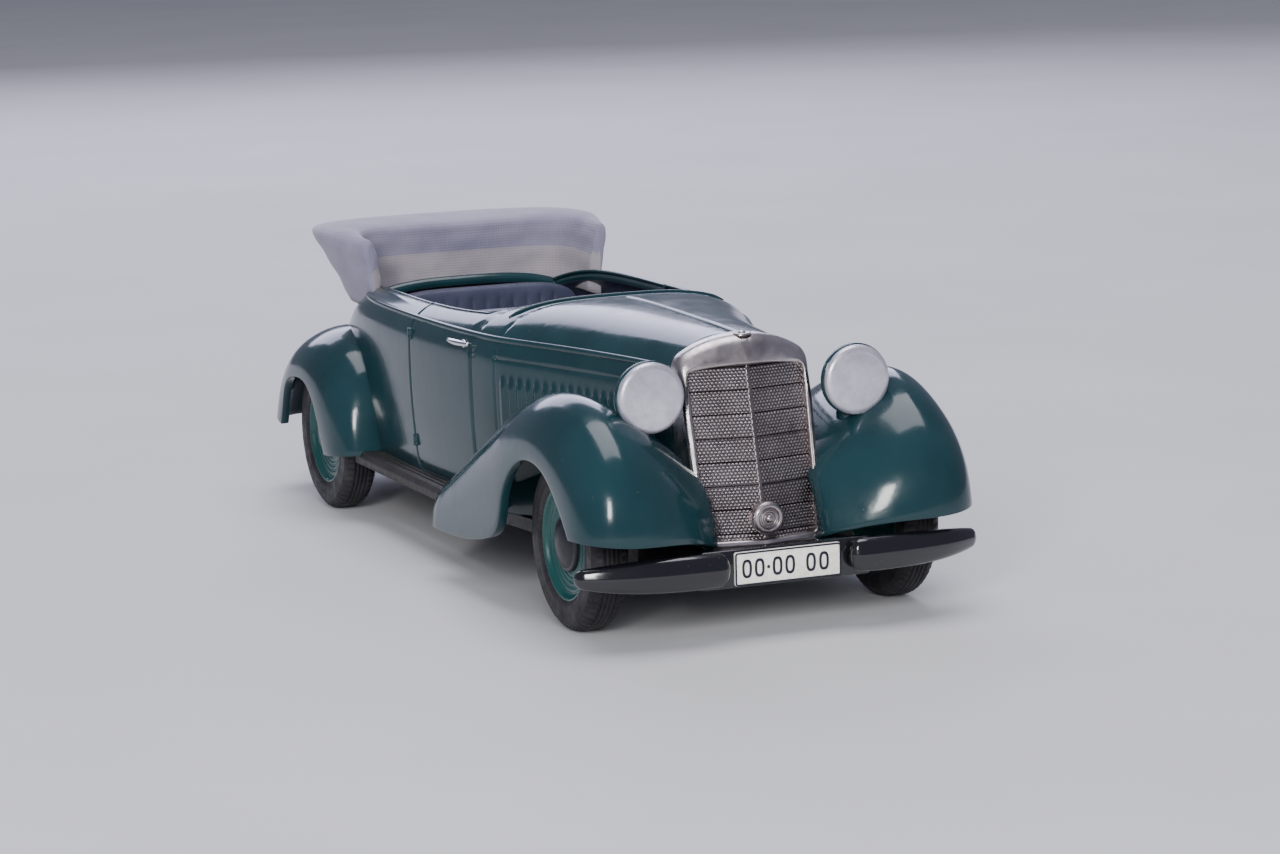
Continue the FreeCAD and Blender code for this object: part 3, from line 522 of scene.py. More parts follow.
HOOD = canvas("hood_canvas", (0.26, 0.25, 0.33), (0.20, 0.19, 0.27))
BAND = canvas("hood_band", (0.36, 0.32, 0.35), (0.29, 0.26, 0.29))
CREAM = plate_cream()
INK = moulded("plate_ink", (0.010, 0.012, 0.020), (0.016, 0.018, 0.028), 0.4)
RED = tail_red()


# ---------------------------------------------------------------- body

# Behind the front axle: half width at the waist, waist height, top height, squareness, half width below.
BODY_STATIONS = [
    (-1.0, 6.0, 17.0, 25.3, 3.2, 5.5),
    (4.0, 6.9, 17.5, 25.5, 3.0, 6.3),
    (10.0, 8.4, 18.0, 25.6, 2.9, 7.6),
    (16.0, 10.2, 18.5, 25.7, 2.9, 9.4),
    (22.0, 12.3, 18.8, 25.7, 3.0, 11.6),
    (26.0, 13.5, 18.8, 25.5, 3.2, 12.9),
    (32.0, 14.3, 18.5, 25.0, 3.6, 13.6),
    (40.0, 14.9, 18.0, 24.6, 4.0, 14.1),
    (50.0, 15.0, 18.0, 24.5, 4.0, 14.1),
    (58.0, 14.6, 18.0, 24.3, 4.0, 13.8),
    (64.0, 13.8, 17.5, 23.8, 3.4, 13.0),
    (70.0, 12.5, 16.0, 21.9, 2.8, 11.8),
    (76.0, 10.8, 13.5, 18.0, 2.4, 10.2),
    (81.0, 9.0, 11.0, 13.2, 2.2, 8.6),
    (84.0, 8.0, 9.0, 10.0, 2.0, 7.8),
]
BODY_LINES = smooth_line(BODY_STATIONS, 600)
ROOF_SHARE = 0.75                    # the side ends this far up from the waist to the top
DOOR = (29.0, 43.4, 7.5)             # front edge, rear edge and foot of the door
COCKPIT = (26.9, 67.6)
SWEEP = 4.6                          # how far the scuttle's corners reach back beside its middle
LOUVRES = (3.6, 24.2, 13.4, 19.4)    # first, last, lowest and highest
LOUVRE_PITCH = 1.14
BONNET_REAR = 24.8                   # the shut line between bonnet and scuttle
BONNET_SIDE = 20.6                   # height of the line between the bonnet's top and its side
BELT = 22.4                          # height of the moulding along each side
ARCH_WALL = 12.6                     # half width of the body inside the rear wheel arch
AXLE_NOTCH = (2.7, 2.1)              # half length, and height above the axle, of the gap for it


def body_section(behind):
    """The dense outline of one side at this place, as x and z arrays from the sill to the centre."""
    width, waist, top, squareness, below = [np.interp(behind, BODY_LINES[:, 0], BODY_LINES[:, k])
                                            for k in range(1, 6)]
    rise = np.linspace(0, 1, 60, endpoint=False)
    turn = np.linspace(0, 1, 140) ** 1.5 * math.pi / 2
    side_x = below + (width - below) * np.sin(math.pi / 2 * rise)
    side_z = SILL + (waist - SILL) * rise
    roof_x = width * np.maximum(np.cos(turn), 0) ** (2 / squareness)
    roof_z = waist + (top - waist) * np.sin(turn) ** (2 / squareness)
    return np.concatenate([side_x, roof_x]), np.concatenate([side_z, roof_z]), waist, top


def body_half_width(behind, height):
    x, z = body_section(behind)[:2]
    return float(np.interp(height, z, x))


def refined(low, high, step, spots, reach, fine):
    """Places from low to high, closer together near the given spots."""
    places = set(np.round(np.arange(low, high + step / 2, step), 3))
    for spot in spots:
        places |= set(np.round(np.arange(spot - reach, spot + reach + fine / 2, fine), 3))
    return np.array(sorted(p for p in places if low <= p <= high))


def body_half_grid():
    """The car's left half from the sill to the centre line, with the share of each column."""
    rows = refined(-1.0, 84.0, 0.45, [DOOR[0], DOOR[1], BONNET_REAR], 0.5, 0.08)
    louvre_rows = np.arange(LOUVRES[0] - 0.5, LOUVRES[1] + 0.5, LOUVRE_PITCH / 8)
    rows = np.array(sorted(set(rows) | set(np.round(louvre_rows, 3)) | set(COCKPIT)))
    rows = rows[np.concatenate([[True], np.diff(rows) > 0.02])]
    shares = refined(0, 1, 0.018, [0.075, 0.085, 0.80, 0.86], 0.02, 0.004)
    roof = np.concatenate([np.linspace(0, 0.94, 34), np.linspace(0.945, 1, 16)])
    grid = np.zeros((len(rows), len(shares) + len(roof) - 1, 3))
    for j, behind in enumerate(rows):
        x, z, waist, top = body_section(behind)
        edge = waist + ROOF_SHARE * (top - waist)
        levels = SILL + shares * (edge - SILL)
        side_x = np.interp(levels, z, x)
        over = z >= edge
        arc = np.concatenate([[(side_x[-1], edge)], np.column_stack([x[over], z[over]])])
        length = run_length(arc)
        along = roof[1:] * length[-1]
        grid[j, :, 0] = np.concatenate([side_x, np.interp(along, length, arc[:, 0])])
        grid[j, :, 1] = y_at(behind)
        grid[j, :, 2] = np.concatenate([levels, np.interp(along, length, arc[:, 1])])
    return rows, grid, len(shares)


def swept(rows, half, side_columns):
    """Moves each column's points back near the scuttle, more towards the car's sides."""
    scuttle = COCKPIT[0]
    near = smooth_step(rows, scuttle - 5, scuttle) * smooth_step(-rows, -scuttle - 16, -scuttle)
    at_scuttle = np.argmin(np.abs(rows - scuttle))
    result, behind = half.copy(), np.repeat(rows[:, None], half.shape[1], axis=1)
    for column in range(half.shape[1]):
        outward = smooth_step(half[at_scuttle, column, 0], 5.0, 13.5)
        upward = smooth_step(column, 0.72 * side_columns, side_columns)
        moved = rows + SWEEP * outward * upward * near
        for axis in range(3):
            result[:, column, axis] = np.interp(moved, rows, half[:, column, axis])
        behind[:, column] = moved
    return result, behind


def line_groove(distance, width, depth):
    return -depth * np.exp(-(distance / (width / 2)) ** 2)


def body_relief(behind, x, z):
    """How far the body's skin stands out at a place on its left half."""
    front, rear, foot = DOOR
    middle, half = (front + rear) / 2, (rear - front) / 2
    round_corner = 1.2
    across = np.abs(behind - middle) - (half - round_corner)
    down = foot + round_corner - z
    outside = np.hypot(np.maximum(across, 0), np.maximum(down, 0))
    inside = np.minimum(np.maximum(across, down), 0)
    door = line_groove(outside + inside - round_corner, 0.24, 0.22)
    lift = 0.05 * smooth_step(-(outside + inside - round_corner), 0.1, 0.5)
    share = (behind - LOUVRES[0]) / LOUVRE_PITCH
    band = (smooth_step(behind, LOUVRES[0], LOUVRES[0] + 0.3)
            * smooth_step(-behind, -LOUVRES[1], 0.3 - LOUVRES[1])
            * smooth_step(z, LOUVRES[2], LOUVRES[2] + 0.6)
            * smooth_step(-z, -LOUVRES[3], 1.5 - LOUVRES[3]))
    louvre = 0.26 * band * (0.5 - 0.5 * np.cos(2 * math.pi * share))
    on_bonnet = smooth_step(-behind, -BONNET_REAR - 0.4, -BONNET_REAR)
    hinge = line_groove(x, 0.42, 0.30) * on_bonnet * (z > 20)
    side_line = line_groove(z - BONNET_SIDE, 0.22, 0.16) * on_bonnet
    rear_line = line_groove(behind - BONNET_REAR, 0.22, 0.16) * smooth_step(z, 12.5, 13.5)
    return door + lift + louvre + hinge + side_line + rear_line


def make_body():
    """The casting with its shut lines, louvres and cockpit opening; gives the opening's left edge."""
    rows, half, side_columns = body_half_grid()
    half, behind = swept(rows, half, side_columns)
    normal = normals_of(half)
    normal[normal[..., 0] < -0.5] *= -1
    if normal[len(rows) // 2, 5, 0] < 0:
        normal *= -1
    normal[:, -1] = (0, 0, 1)
    half = half + normal * body_relief(behind, half[..., 0], half[..., 2])[..., None]
    in_arch = (behind - WHEELBASE) ** 2 + (half[..., 2] - TYRE_RADIUS) ** 2 < (TYRE_RADIUS + 0.9) ** 2
    half[..., 0] = np.where(in_arch, np.minimum(half[..., 0], ARCH_WALL), half[..., 0])
    whole = np.concatenate([half, (half * MIRROR)[:, -2::-1]], axis=1)
    columns = whole.shape[1]
    rim = side_columns + 3
    middle_of = np.arange(columns - 1)
    over_cockpit = (middle_of >= rim) & (middle_of < columns - 1 - rim)
    open_rows = (rows[:-1] >= COCKPIT[0] - 1e-6) & (rows[1:] <= COCKPIT[1] + 1e-6)
    keep = ~(open_rows[:, None] & over_cockpit[None, :])
    low = whole[:-1, :-1, 2] < TYRE_RADIUS + AXLE_NOTCH[1]
    by_axle = np.abs(rows[:-1]) < AXLE_NOTCH[0]
    keep &= ~(by_axle[:, None] & low)
    body = grid_piece("body", whole, GREEN, "body_shell", keep=keep, open_sheet=True)
    body.data.flip_normals()
    solidify(body, 1.0, INTERIOR)
    in_cockpit = (rows >= COCKPIT[0] - 1e-6) & (rows <= COCKPIT[1] + 1e-6)
    return whole[in_cockpit][:, rim]


def make_rim(edge):
    """A rolled edge round the cockpit and a raised moulding along each side."""
    inner = edge + np.array([-0.12, 0, -0.06])
    places = np.linspace(0.2, 63.5, 150)
    line = np.array([(body_half_width(b, BELT) - 0.04, y_at(b), BELT) for b in places])
    taper = 0.26 * np.minimum(1, np.minimum(np.arange(150) + 3, 152 - np.arange(150)) / 8)
    joined("cockpit_rim", [capped(tube(inner * mirror, 0.17, 14)) for _, mirror in SIDES], GREEN)
    joined("belt_moulding", [capped(tube(line * mirror, taper, 10, 1.25)) for _, mirror in SIDES], GREEN)


# ---------------------------------------------------------------- wings

FRONT_WING = [
    [(4.6, -6.3, 7.1), (6.6, -8.0, 7.9), (9.8, -10.2, 8.8), (13.8, -11.5, 9.2), (16.6, -11.0, 9.4),
     (18.0, -9.4, 9.6), (18.25, -7.5, 9.6)],
    [(4.9, -6.2, 9.0), (7.2, -7.8, 10.2), (10.3, -9.8, 11.6), (14.0, -11.2, 12.3), (16.8, -10.5, 12.2),
     (18.1, -8.5, 12.0), (18.25, -5.8, 11.7)],
    [(5.3, -5.4, 11.2), (7.8, -6.6, 13.2), (10.8, -8.0, 14.9), (14.3, -9.3, 15.7), (16.9, -8.6, 15.3),
     (18.2, -6.3, 14.4), (18.25, -3.6, 13.6)],
    [(5.5, -3.4, 12.6), (8.2, -4.2, 15.1), (11.2, -5.0, 17.3), (14.6, -5.8, 18.5), (17.0, -5.0, 17.6),
     (18.2, -3.3, 16.0), (18.25, -1.4, 14.8)],
    [(5.6, 0.0, 13.2), (8.6, -0.3, 15.9), (11.8, -0.6, 18.5), (15.0, -0.8, 20.1), (17.2, -0.3, 18.9),
     (18.25, 0.6, 16.8), (18.25, 1.6, 15.2)],
    [(6.6, 5.0, 13.4), (9.2, 5.0, 16.0), (12.2, 5.0, 18.4), (15.2, 5.0, 19.5), (17.3, 5.0, 18.3),
     (18.25, 5.0, 16.2), (18.25, 5.0, 14.3)],
    [(8.0, 10.0, 13.0), (10.2, 10.0, 15.2), (12.9, 10.0, 17.0), (15.4, 10.0, 17.6), (17.4, 9.8, 16.4),
     (18.25, 9.2, 14.2), (18.25, 8.3, 11.2)],
    [(9.6, 14.0, 12.2), (11.4, 14.0, 13.9), (13.6, 14.0, 15.3), (15.6, 14.0, 15.8), (17.5, 13.2, 14.4),
     (18.25, 11.6, 11.9), (18.25, 9.5, 7.6)],
    [(11.0, 18.0, 10.8), (12.6, 18.0, 12.4), (14.2, 18.0, 13.5), (15.8, 18.0, 13.7), (17.5, 17.4, 12.2),
     (18.2, 16.0, 9.6), (18.2, 14.5, 5.9)],
    [(12.0, 22.5, 9.2), (13.2, 22.5, 10.4), (14.6, 22.5, 11.2), (16.0, 22.5, 11.2), (17.4, 22.3, 9.8),
     (18.1, 21.8, 7.8), (18.2, 21.0, 5.0)],
    [(12.8, 27.3, 7.4), (13.8, 27.3, 8.2), (15.0, 27.3, 8.7), (16.1, 27.3, 8.5), (17.2, 27.3, 7.8),
     (17.9, 27.3, 6.6), (18.1, 27.3, 4.8)],
]
REAR_WING = [
    [(13.2, 56.3, 6.6), (14.3, 56.3, 6.7), (15.6, 56.5, 6.8), (16.7, 57.0, 6.8), (17.3, 58.0, 6.7),
     (17.6, 59.4, 6.6), (17.6, 61.0, 6.5)],
    [(13.4, 56.6, 9.4), (14.6, 56.7, 9.6), (15.9, 57.0, 9.7), (16.9, 57.6, 9.6), (17.5, 58.7, 9.3),
     (17.75, 60.2, 8.9), (17.75, 61.6, 8.6)],
    [(13.5, 57.3, 12.2), (14.7, 57.5, 12.4), (15.9, 57.9, 12.3), (17.0, 58.7, 11.9), (17.6, 59.9, 11.4),
     (17.85, 61.3, 10.9), (17.85, 62.5, 10.6)],
    [(13.5, 58.8, 14.8), (14.7, 59.0, 14.8), (15.9, 59.4, 14.5), (17.0, 60.2, 13.9), (17.7, 61.4, 13.2),
     (17.9, 62.7, 12.6), (17.9, 63.8, 12.2)],
    [(13.4, 61.5, 16.7), (14.6, 61.6, 16.7), (15.9, 61.9, 16.3), (17.1, 62.5, 15.5), (17.8, 63.4, 14.6),
     (18.0, 64.4, 13.8), (18.0, 65.2, 13.3)],
    [(13.1, 65.5, 17.8), (14.4, 65.5, 17.7), (15.8, 65.6, 17.2), (17.1, 65.9, 16.3), (17.8, 66.4, 15.2),
     (18.0, 67.0, 14.3), (18.0, 67.6, 13.6)],
    [(12.6, 70.0, 17.4), (13.9, 70.0, 17.3), (15.4, 70.0, 16.8), (16.8, 70.1, 15.9), (17.6, 70.4, 14.8),
     (17.9, 70.8, 13.8), (17.9, 71.2, 13.0)],
    [(11.6, 74.5, 15.4), (13.0, 74.6, 15.3), (14.6, 74.6, 14.8), (16.2, 74.4, 14.0), (17.2, 74.2, 13.0),
     (17.6, 74.0, 12.0), (17.6, 73.6, 11.0)],
    [(10.6, 78.2, 11.8), (12.0, 78.4, 11.7), (13.8, 78.4, 11.3), (15.5, 78.0, 10.8), (16.8, 77.3, 10.3),
     (17.3, 76.4, 9.7), (17.3, 75.2, 9.0)],
    [(9.8, 80.2, 8.0), (11.2, 80.6, 7.8), (13.1, 80.6, 7.6), (14.9, 80.2, 7.6), (16.4, 79.3, 7.6),
     (17.1, 78.0, 7.6), (17.2, 76.2, 7.4)],
]


RADIATOR_SIDE = 5.95                 # nearest that a front wing comes to the centre line beside it
RADIATOR_REAR = -0.9
WING_WALL = 0.85


def make_wings():
    """Four thin sheets; beside the radiator the front ones end at its side."""
    for end, rows in (("front", FRONT_WING), ("rear", REAR_WING)):
        net = np.array(rows, float)
        net[..., 1] = y_at(net[..., 1])
        grid = smooth_sheet(net, 110, 72)
        by_radiator = grid[..., 1] < y_at(RADIATOR_REAR)
        grid[..., 0] = np.where(by_radiator, np.maximum(grid[..., 0], RADIATOR_SIDE), grid[..., 0])
        for side, mirror in SIDES:
            wing = grid_piece("%s_wing_skin_%s" % (end, side), grid * mirror, GREEN,
                              "%s_wing_%s" % (end, side), open_sheet=True)
            if side == "left":
                wing.data.flip_normals()
            solidify(wing, WING_WALL)
            bevel(wing, 0.16, 50)


# ---------------------------------------------------------------- radiator

RADIATOR = {"half_low": 5.9, "half_high": 6.35, "low": 7.0, "shoulder": 23.5, "top": 25.45}
WINDOW = {"half_low": 5.3, "half_high": 5.6, "low": 7.8, "shoulder": 22.4, "top": 22.85}
LOOP_MIDDLE = 15.0
RADIATOR_BACK = -1.0
STRAP_FRONT = -2.3
STUD_PITCH = (0.34, 0.27)
BAND_PITCH = 2.05
LOWEST_GROOVE = 8.3
BOSS_PLACE = -6.55                   # behind the front axle, like the cap's
CAP_PLACE = -2.2


def v_face(x, z):
    """How far behind the front axle the radiator's V front lies."""
    up = (z - RADIATOR["low"]) / 19.0
    nose = -7.5 + 4.4 * up
    side = -6.1 + 4.4 * up
    facet = 0.12 + 0.55 * smooth_step(z, 23.0, 25.6)
    return nose + (side - nose) * np.maximum(np.abs(x), facet) / (6.3 + 1.6 * up)


def arch_line(shape, round_low, round_high):
    """The right half of an arched outline, from its foot's middle to its top's middle."""
    rise = shape["top"] - shape["shoulder"]
    radius = (shape["half_high"] ** 2 + rise ** 2) / (2 * rise)
    arc_x = shape["half_high"] * np.array([0.72, 0.5, 0.25, 0.0])
    arc_z = shape["top"] - radius + np.sqrt(radius ** 2 - arc_x ** 2)
    corner = (shape["half_high"], shape["shoulder"])
    side = (shape["half_low"], shape["low"])
    lower = rounded_profile([(0, shape["low"]), side, corner], round_low, 9)[:-1]
    upper = rounded_profile([side, corner] + list(zip(arc_x, arc_z)), round_high, 9)[1:]
    return np.array([tuple(point) for point in lower + upper])


def loop_reach(line, turn):
    """Distances from the loops' middle to an outline at the given angles."""
    length = run_length(line)
    fine = np.linspace(0, length[-1], 1500)
    x, up = np.interp(fine, length, line[:, 0]), np.interp(fine, length, line[:, 1]) - LOOP_MIDDLE
    angle, reach = np.arctan2(up, x), np.hypot(x, up)
    folded = np.arctan2(np.sin(turn), np.abs(np.cos(turn)))
    return np.interp(folded, angle, reach)


def make_radiator_shell():
    """The plated surround: rounded rails, a broad header with a soft crease, and its sides."""
    outer_line = arch_line(RADIATOR, 0.7, 1.5)
    inner_line = arch_line(WINDOW, 0.8, 0.6)
    corners = [np.arctan2(line[:, 1] - LOOP_MIDDLE, line[:, 0]) for line in (outer_line, inner_line)]
    half = np.unique(np.round(np.concatenate([np.linspace(-90, 90, 150), np.degrees(corners[0]),
                                              np.degrees(corners[1]), 90 - 0.35 * np.arange(12)]), 2))
    turn = np.radians(np.concatenate([half, 180 - half[-2:0:-1]]))
    outer, inner = loop_reach(outer_line, turn), loop_reach(inner_line, turn)
    header = smooth_step(np.sin(turn), 0.55, 0.85)
    inner_round = 0.22
    outer_round = 0.36 + 0.75 * header
    rings = [(inner, 1.3), (inner, inner_round)]
    for t in np.linspace(0, math.pi / 2, 6):
        rings.append((inner + inner_round * (1 - math.cos(t)), inner_round * (1 - math.sin(t))))
    for share in (0.25, 0.5, 0.75):
        middle = inner + inner_round + (outer - outer_round - inner - inner_round) * share
        rings.append((middle, -0.04))
    for t in np.linspace(0, math.pi / 2, 8):
        rings.append((outer - outer_round * (1 - math.sin(t)), outer_round * (1 - math.cos(t))))
    grid = []
    for reach, drop in rings:
        x, z = reach * np.cos(turn), LOOP_MIDDLE + reach * np.sin(turn)
        grid.append(np.stack([x, y_at(v_face(x, z) + drop), z], axis=1))
    back = grid[-1].copy()
    back[:, 1] = y_at(np.where(back[:, 2] < 9.6, STRAP_FRONT, RADIATOR_BACK))
    grid.append(grid[-1] * 0.75 + back * 0.25)
    grid.append(back)
    grid = np.array(grid)
    shell = grid_piece("radiator_surround", grid, NICKEL, "radiator_shell", close_columns=True)
    add_relief(shell, np.full(grid.shape[:2], 0.85))


def make_grille():
    """The pressed panel behind the window: staggered studs between fine grooves and a centre rib."""
    window = arch_line(WINDOW, 0.8, 0.6)
    rows = np.arange(WINDOW["low"] - 0.02, WINDOW["top"], 0.04)
    shares = np.linspace(-1, 1, 281)
    half = np.interp(rows, window[:, 1], window[:, 0]) + 0.12
    x = half[:, None] * shares[None, :]
    z = np.repeat(rows[:, None], len(shares), axis=1)
    row = np.round(z / STUD_PITCH[1])
    across = x / STUD_PITCH[0] + 0.5 * (row % 2)
    off_x = (across - np.round(across)) * STUD_PITCH[0] / 0.125
    off_z = (z / STUD_PITCH[1] - row) * STUD_PITCH[1] / 0.095
    stud = np.sqrt(np.maximum(0, 1 - off_x ** 2 - off_z ** 2))
    band = (z - LOWEST_GROOVE) / BAND_PITCH
    groove = np.exp(-((band - np.round(band)) * BAND_PITCH / 0.06) ** 2)
    rib = smooth_step(-np.abs(x), -0.20, -0.12)
    stud = stud * (1 - rib) * (1 - groove)
    groove = groove * (1 - rib)
    drop = 0.60 - 0.07 * stud - 0.05 * rib + 0.10 * groove
    grid = np.stack([x, y_at(v_face(x, z) + drop), z], axis=2)
    panel = grid_piece("grille_panel", grid, NICKEL, "radiator_grille")
    add_relief(panel, np.clip(0.20 + 0.42 * stud + 0.18 * rib - 0.25 * groove, 0, 1))


def make_radiator_details():
    """The plain round boss at the grille's foot and the small cap on top."""
    boss = rounded_profile([(-0.6, 1.3), (0.15, 1.4), (0.3, 1.5), (0.62, 1.48), (0.84, 1.25), (0.86, 1.0),
                            (0.66, 0.88), (0.66, 0.78), (0.84, 0.74), (0.84, 0.60), (0.68, 0.54),
                            (0.68, 0.38), (0.96, 0.34), (1.08, 0.2), (1.1, 0)], 0.06, 4)
    centre = (0, y_at(BOSS_PLACE), centre_mm("grille_boss")[2])
    lathe("foot_boss", boss, centre, (0, -1, 0), NICKEL, "grille_boss", relief=0.8)
    cap = rounded_profile([(-0.15, 0.85), (0.02, 0.82), (0.06, 0.66), (0.0, 0.5), (0.0, 0.36),
                           (0.14, 0.32), (0.22, 0.18), (0.24, 0)], 0.06, 4)
    crown = box_mm("radiator_cap")[1][2] - 0.35
    lathe("filler_cap", cap, (0, y_at(CAP_PLACE), crown), (0, 0, 1), NICKEL, "radiator_cap", relief=0.7)


# ---------------------------------------------------------------- lamps

LAMP_SHELL = [(-0.08, 2.95), (0.0, 3.16), (0.12, 3.24), (0.5, 3.2), (1.3, 2.82), (2.3, 2.3), (3.3, 1.72),
              (4.1, 1.1), (4.6, 0.5), (4.75, 0)]
LAMP_DISC = [(0.2, 3.02), (-0.05, 3.12), (-0.26, 3.13), (-0.45, 3.02), (-0.58, 2.82), (-0.66, 2.6),
             (-0.655, 2.5), (-0.67, 2.4), (-0.73, 1.6), (-0.78, 0.8), (-0.8, 0)]
LAMP_POST = [(-5.4, 1.5), (-4.2, 1.4), (-3.6, 1.22), (-3.3, 1.0), (-3.05, 0.78), (-2.75, 0.74),
             (-2.5, 0.9), (-2.1, 1.04), (-1.6, 1.06), (-1.1, 0.9), (-0.8, 0.7), (-0.8, 0)]


LAMP_RIM = -4.6                      # behind the front axle, like the post's middle
LAMP_POST_PLACE = -2.9


def make_lamps():
    """Each lamp is a bowl with a flat bright face, on a short post."""
    for side, mirror in SIDES:
        centre = np.array([LAMP[0], y_at(LAMP_RIM), LAMP[2]]) * mirror
        foot = np.array([LAMP[0], y_at(LAMP_POST_PLACE), LAMP[2] - 1.6]) * mirror
        lathe("lamp_bowl_" + side, LAMP_SHELL, centre, (0, 1, 0), GREEN, "headlamp_shell_" + side)
        lathe("lamp_face_" + side, LAMP_DISC, centre, (0, 1, 0), SATIN, "headlamp_disc_" + side, 128)
        lathe("lamp_post_" + side, LAMP_POST, foot, (0, 0, 1), GREEN, "headlamp_pedestal_" + side, 64)


# ---------------------------------------------------------------- bumpers and plates

# Behind the front axle, half height and half depth of a bumper half at places from its inner end.
FRONT_BUMPER = [(5.7, -11.45, 1.35, 0.75), (7.0, -11.5, 1.5, 0.85), (9.5, -11.45, 1.55, 0.9),
                (13.5, -11.1, 1.45, 0.85), (16.5, -10.4, 1.2, 0.75), (18.4, -9.6, 0.92, 0.62),
                (19.28, -9.2, 0.7, 0.5)]
REAR_BUMPER = [(5.7, 85.45, 1.35, 0.75), (6.6, 85.5, 1.5, 0.85), (8.0, 85.45, 1.5, 0.9),
               (10.0, 85.1, 1.3, 0.8), (11.4, 84.7, 1.0, 0.65), (12.08, 84.4, 0.7, 0.5)]
BUMPER_HEIGHT = 6.5


def bumper_grid(rows, toward):
    line = smooth_line(rows, 90)
    place = np.linspace(0, 1, 90)
    to_end = np.minimum(place, 1 - place) / 0.07
    round_end = np.sqrt(np.maximum(1 - (1 - np.minimum(to_end, 1)) ** 2, 0.0004))
    angle = np.linspace(0, 2 * math.pi, 48, endpoint=False)
    up, out = softened(np.sin(angle), 0.85), softened(np.cos(angle), 0.85)
    ridge = 1 + 0.10 * np.exp(-(up / 0.22) ** 2) * (out > 0)
    tall, deep = line[:, 2] * round_end, line[:, 3] * round_end
    x = np.repeat(line[:, 0:1], len(angle), axis=1)
    y = y_at(line[:, 1:2]) - toward * deep[:, None] * (out * ridge)[None, :]
    z = BUMPER_HEIGHT + tall[:, None] * up[None, :]
    return np.stack([x, y, z], axis=2)


def make_bumpers():
    for end, toward in ENDS:
        grid = bumper_grid(np.array(FRONT_BUMPER if end == "front" else REAR_BUMPER), toward)
        for side, mirror in SIDES:
            grid_piece("%s_bar_%s" % (end, side), grid * mirror, BLACK, "%s_bumper_%s" % (end, side),
                       close_columns=True, caps=True)


def rounded_rectangle(half_x, low, high, radius):
    """Points round an upright rectangle with rounded corners, as x and z."""
    points = []
    for start, right, upper in ((0, 1, 1), (90, -1, 1), (180, -1, -1), (270, 1, -1)):
        middle_x = right * (half_x - radius)
        middle_z = high - radius if upper == 1 else low + radius
        for angle in np.radians(np.linspace(start, start + 90, 7)):
            points.append((middle_x + radius * math.cos(angle), middle_z + radius * math.sin(angle)))
    return np.array(points)


def upright(loop, y):
    """A loop of x and z points stood up at this y."""
    return np.stack([loop[:, 0], np.full(len(loop), y), loop[:, 1]], axis=1)


def slab_grid(half_x, low, high, radius, face, back, edge):
    """A plate with a softened front edge, as rings from its face to its back."""
    toward = 1 if back > face else -1
    rings = []
    for inset, depth in ((edge, face), (edge * 0.3, face + toward * edge * 0.3), (0, face + toward * edge),
                         (0, back)):
        loop = rounded_rectangle(half_x - inset, low + inset, high - inset, max(radius - inset, 0.02))
        rings.append(upright(loop, depth))
    return np.array(rings)


def ring_grid(outer, inner, face, back):
    """A flat-faced ring between two loops of x and z points."""
    return hollow(np.array([upright(loop, y) for loop, y in ((outer, back), (outer, face), (inner, face),
                                                             (inner, back))]))


def nought(across, middle, half_x, half_z):
    """The loop of a plain 0, as x and z."""
    angle = np.linspace(0, 2 * math.pi, 32, endpoint=False)
    return np.stack([across + half_x * softened(np.cos(angle), 0.75),
                     middle + half_z * softened(np.sin(angle), 0.75)], axis=1)


NOUGHT_PLACES = (-3.95, -2.75, -1.05, 0.15, 2.15, 3.4)
DOT_PLACE = -1.9


def make_plates():
    """Cream plates with a dark edge line and plain noughts, each on its black holder."""
    for end, toward in ENDS:
        low, high = box_mm(end + "_plate")
        holder_low, holder_high = box_mm(end + "_plate_holder")
        face, back = (low[1], high[1])[::toward]
        holder_face, holder_back = (holder_low[1], holder_high[1])[::toward]
        middle, half_x = (low[2] + high[2]) / 2, high[0]
        plate = slab_grid(half_x, low[2], high[2], 0.25, face + 0.06 * toward, back, 0.07)
        joined(end + "_registration", [capped(plate)], CREAM, end + "_plate")
        line_outer = rounded_rectangle(half_x - 0.02, low[2] + 0.02, high[2] - 0.02, 0.24)
        line_inner = rounded_rectangle(half_x - 0.17, low[2] + 0.17, high[2] - 0.17, 0.12)
        loops = [(line_outer, line_inner, 0.02)]
        for across in NOUGHT_PLACES:
            loops.append((nought(across, middle, 0.46, 0.82), nought(across, middle, 0.24, 0.58), 0.01))
        loops.append((nought(DOT_PLACE, middle, 0.14, 0.14), nought(DOT_PLACE, middle, 0.01, 0.01), 0.01))
        marks = [ring_grid(outer, inner, face + sunk * toward, face + 0.2 * toward)
                 for outer, inner, sunk in loops]
        joined(end + "_markings", marks, INK)
        holder = slab_grid(holder_high[0], holder_low[2], holder_high[2], 0.3, holder_face, holder_back, 0.15)
        joined(end + "_holder", [capped(holder)], BLACK, end + "_plate_holder")


# ---------------------------------------------------------------- wheels

HALF_TREAD = 0.95
NOTCHES = 64
DISC_FRONT = [(1.0, 0.9), (1.0, 2.45), (0.84, 2.75), (0.80, 3.0), (0.92, 3.12), (0.90, 3.3), (0.80, 3.45),
              (0.94, 3.6), (0.93, 3.8), (0.84, 3.95), (0.98, 4.1), (1.0, 4.3), (0.96, 4.42), (1.12, 4.62),
              (1.42, 4.78), (1.52, 4.92), (1.50, 5.08), (1.35, 5.14)]
DISC_BACK = [(-1.45, 5.12), (-1.5, 4.95), (-1.45, 4.5), (0.15, 4.35), (0.2, 1.6), (-1.5, 1.55), (-1.5, 0.9)]
CAP = [(0.9, 2.5), (1.25, 2.5), (1.38, 2.44), (1.42, 2.3), (1.40, 2.18), (1.52, 2.05), (1.74, 1.6),
       (1.92, 1.0), (2.02, 0.5), (2.05, 0)]


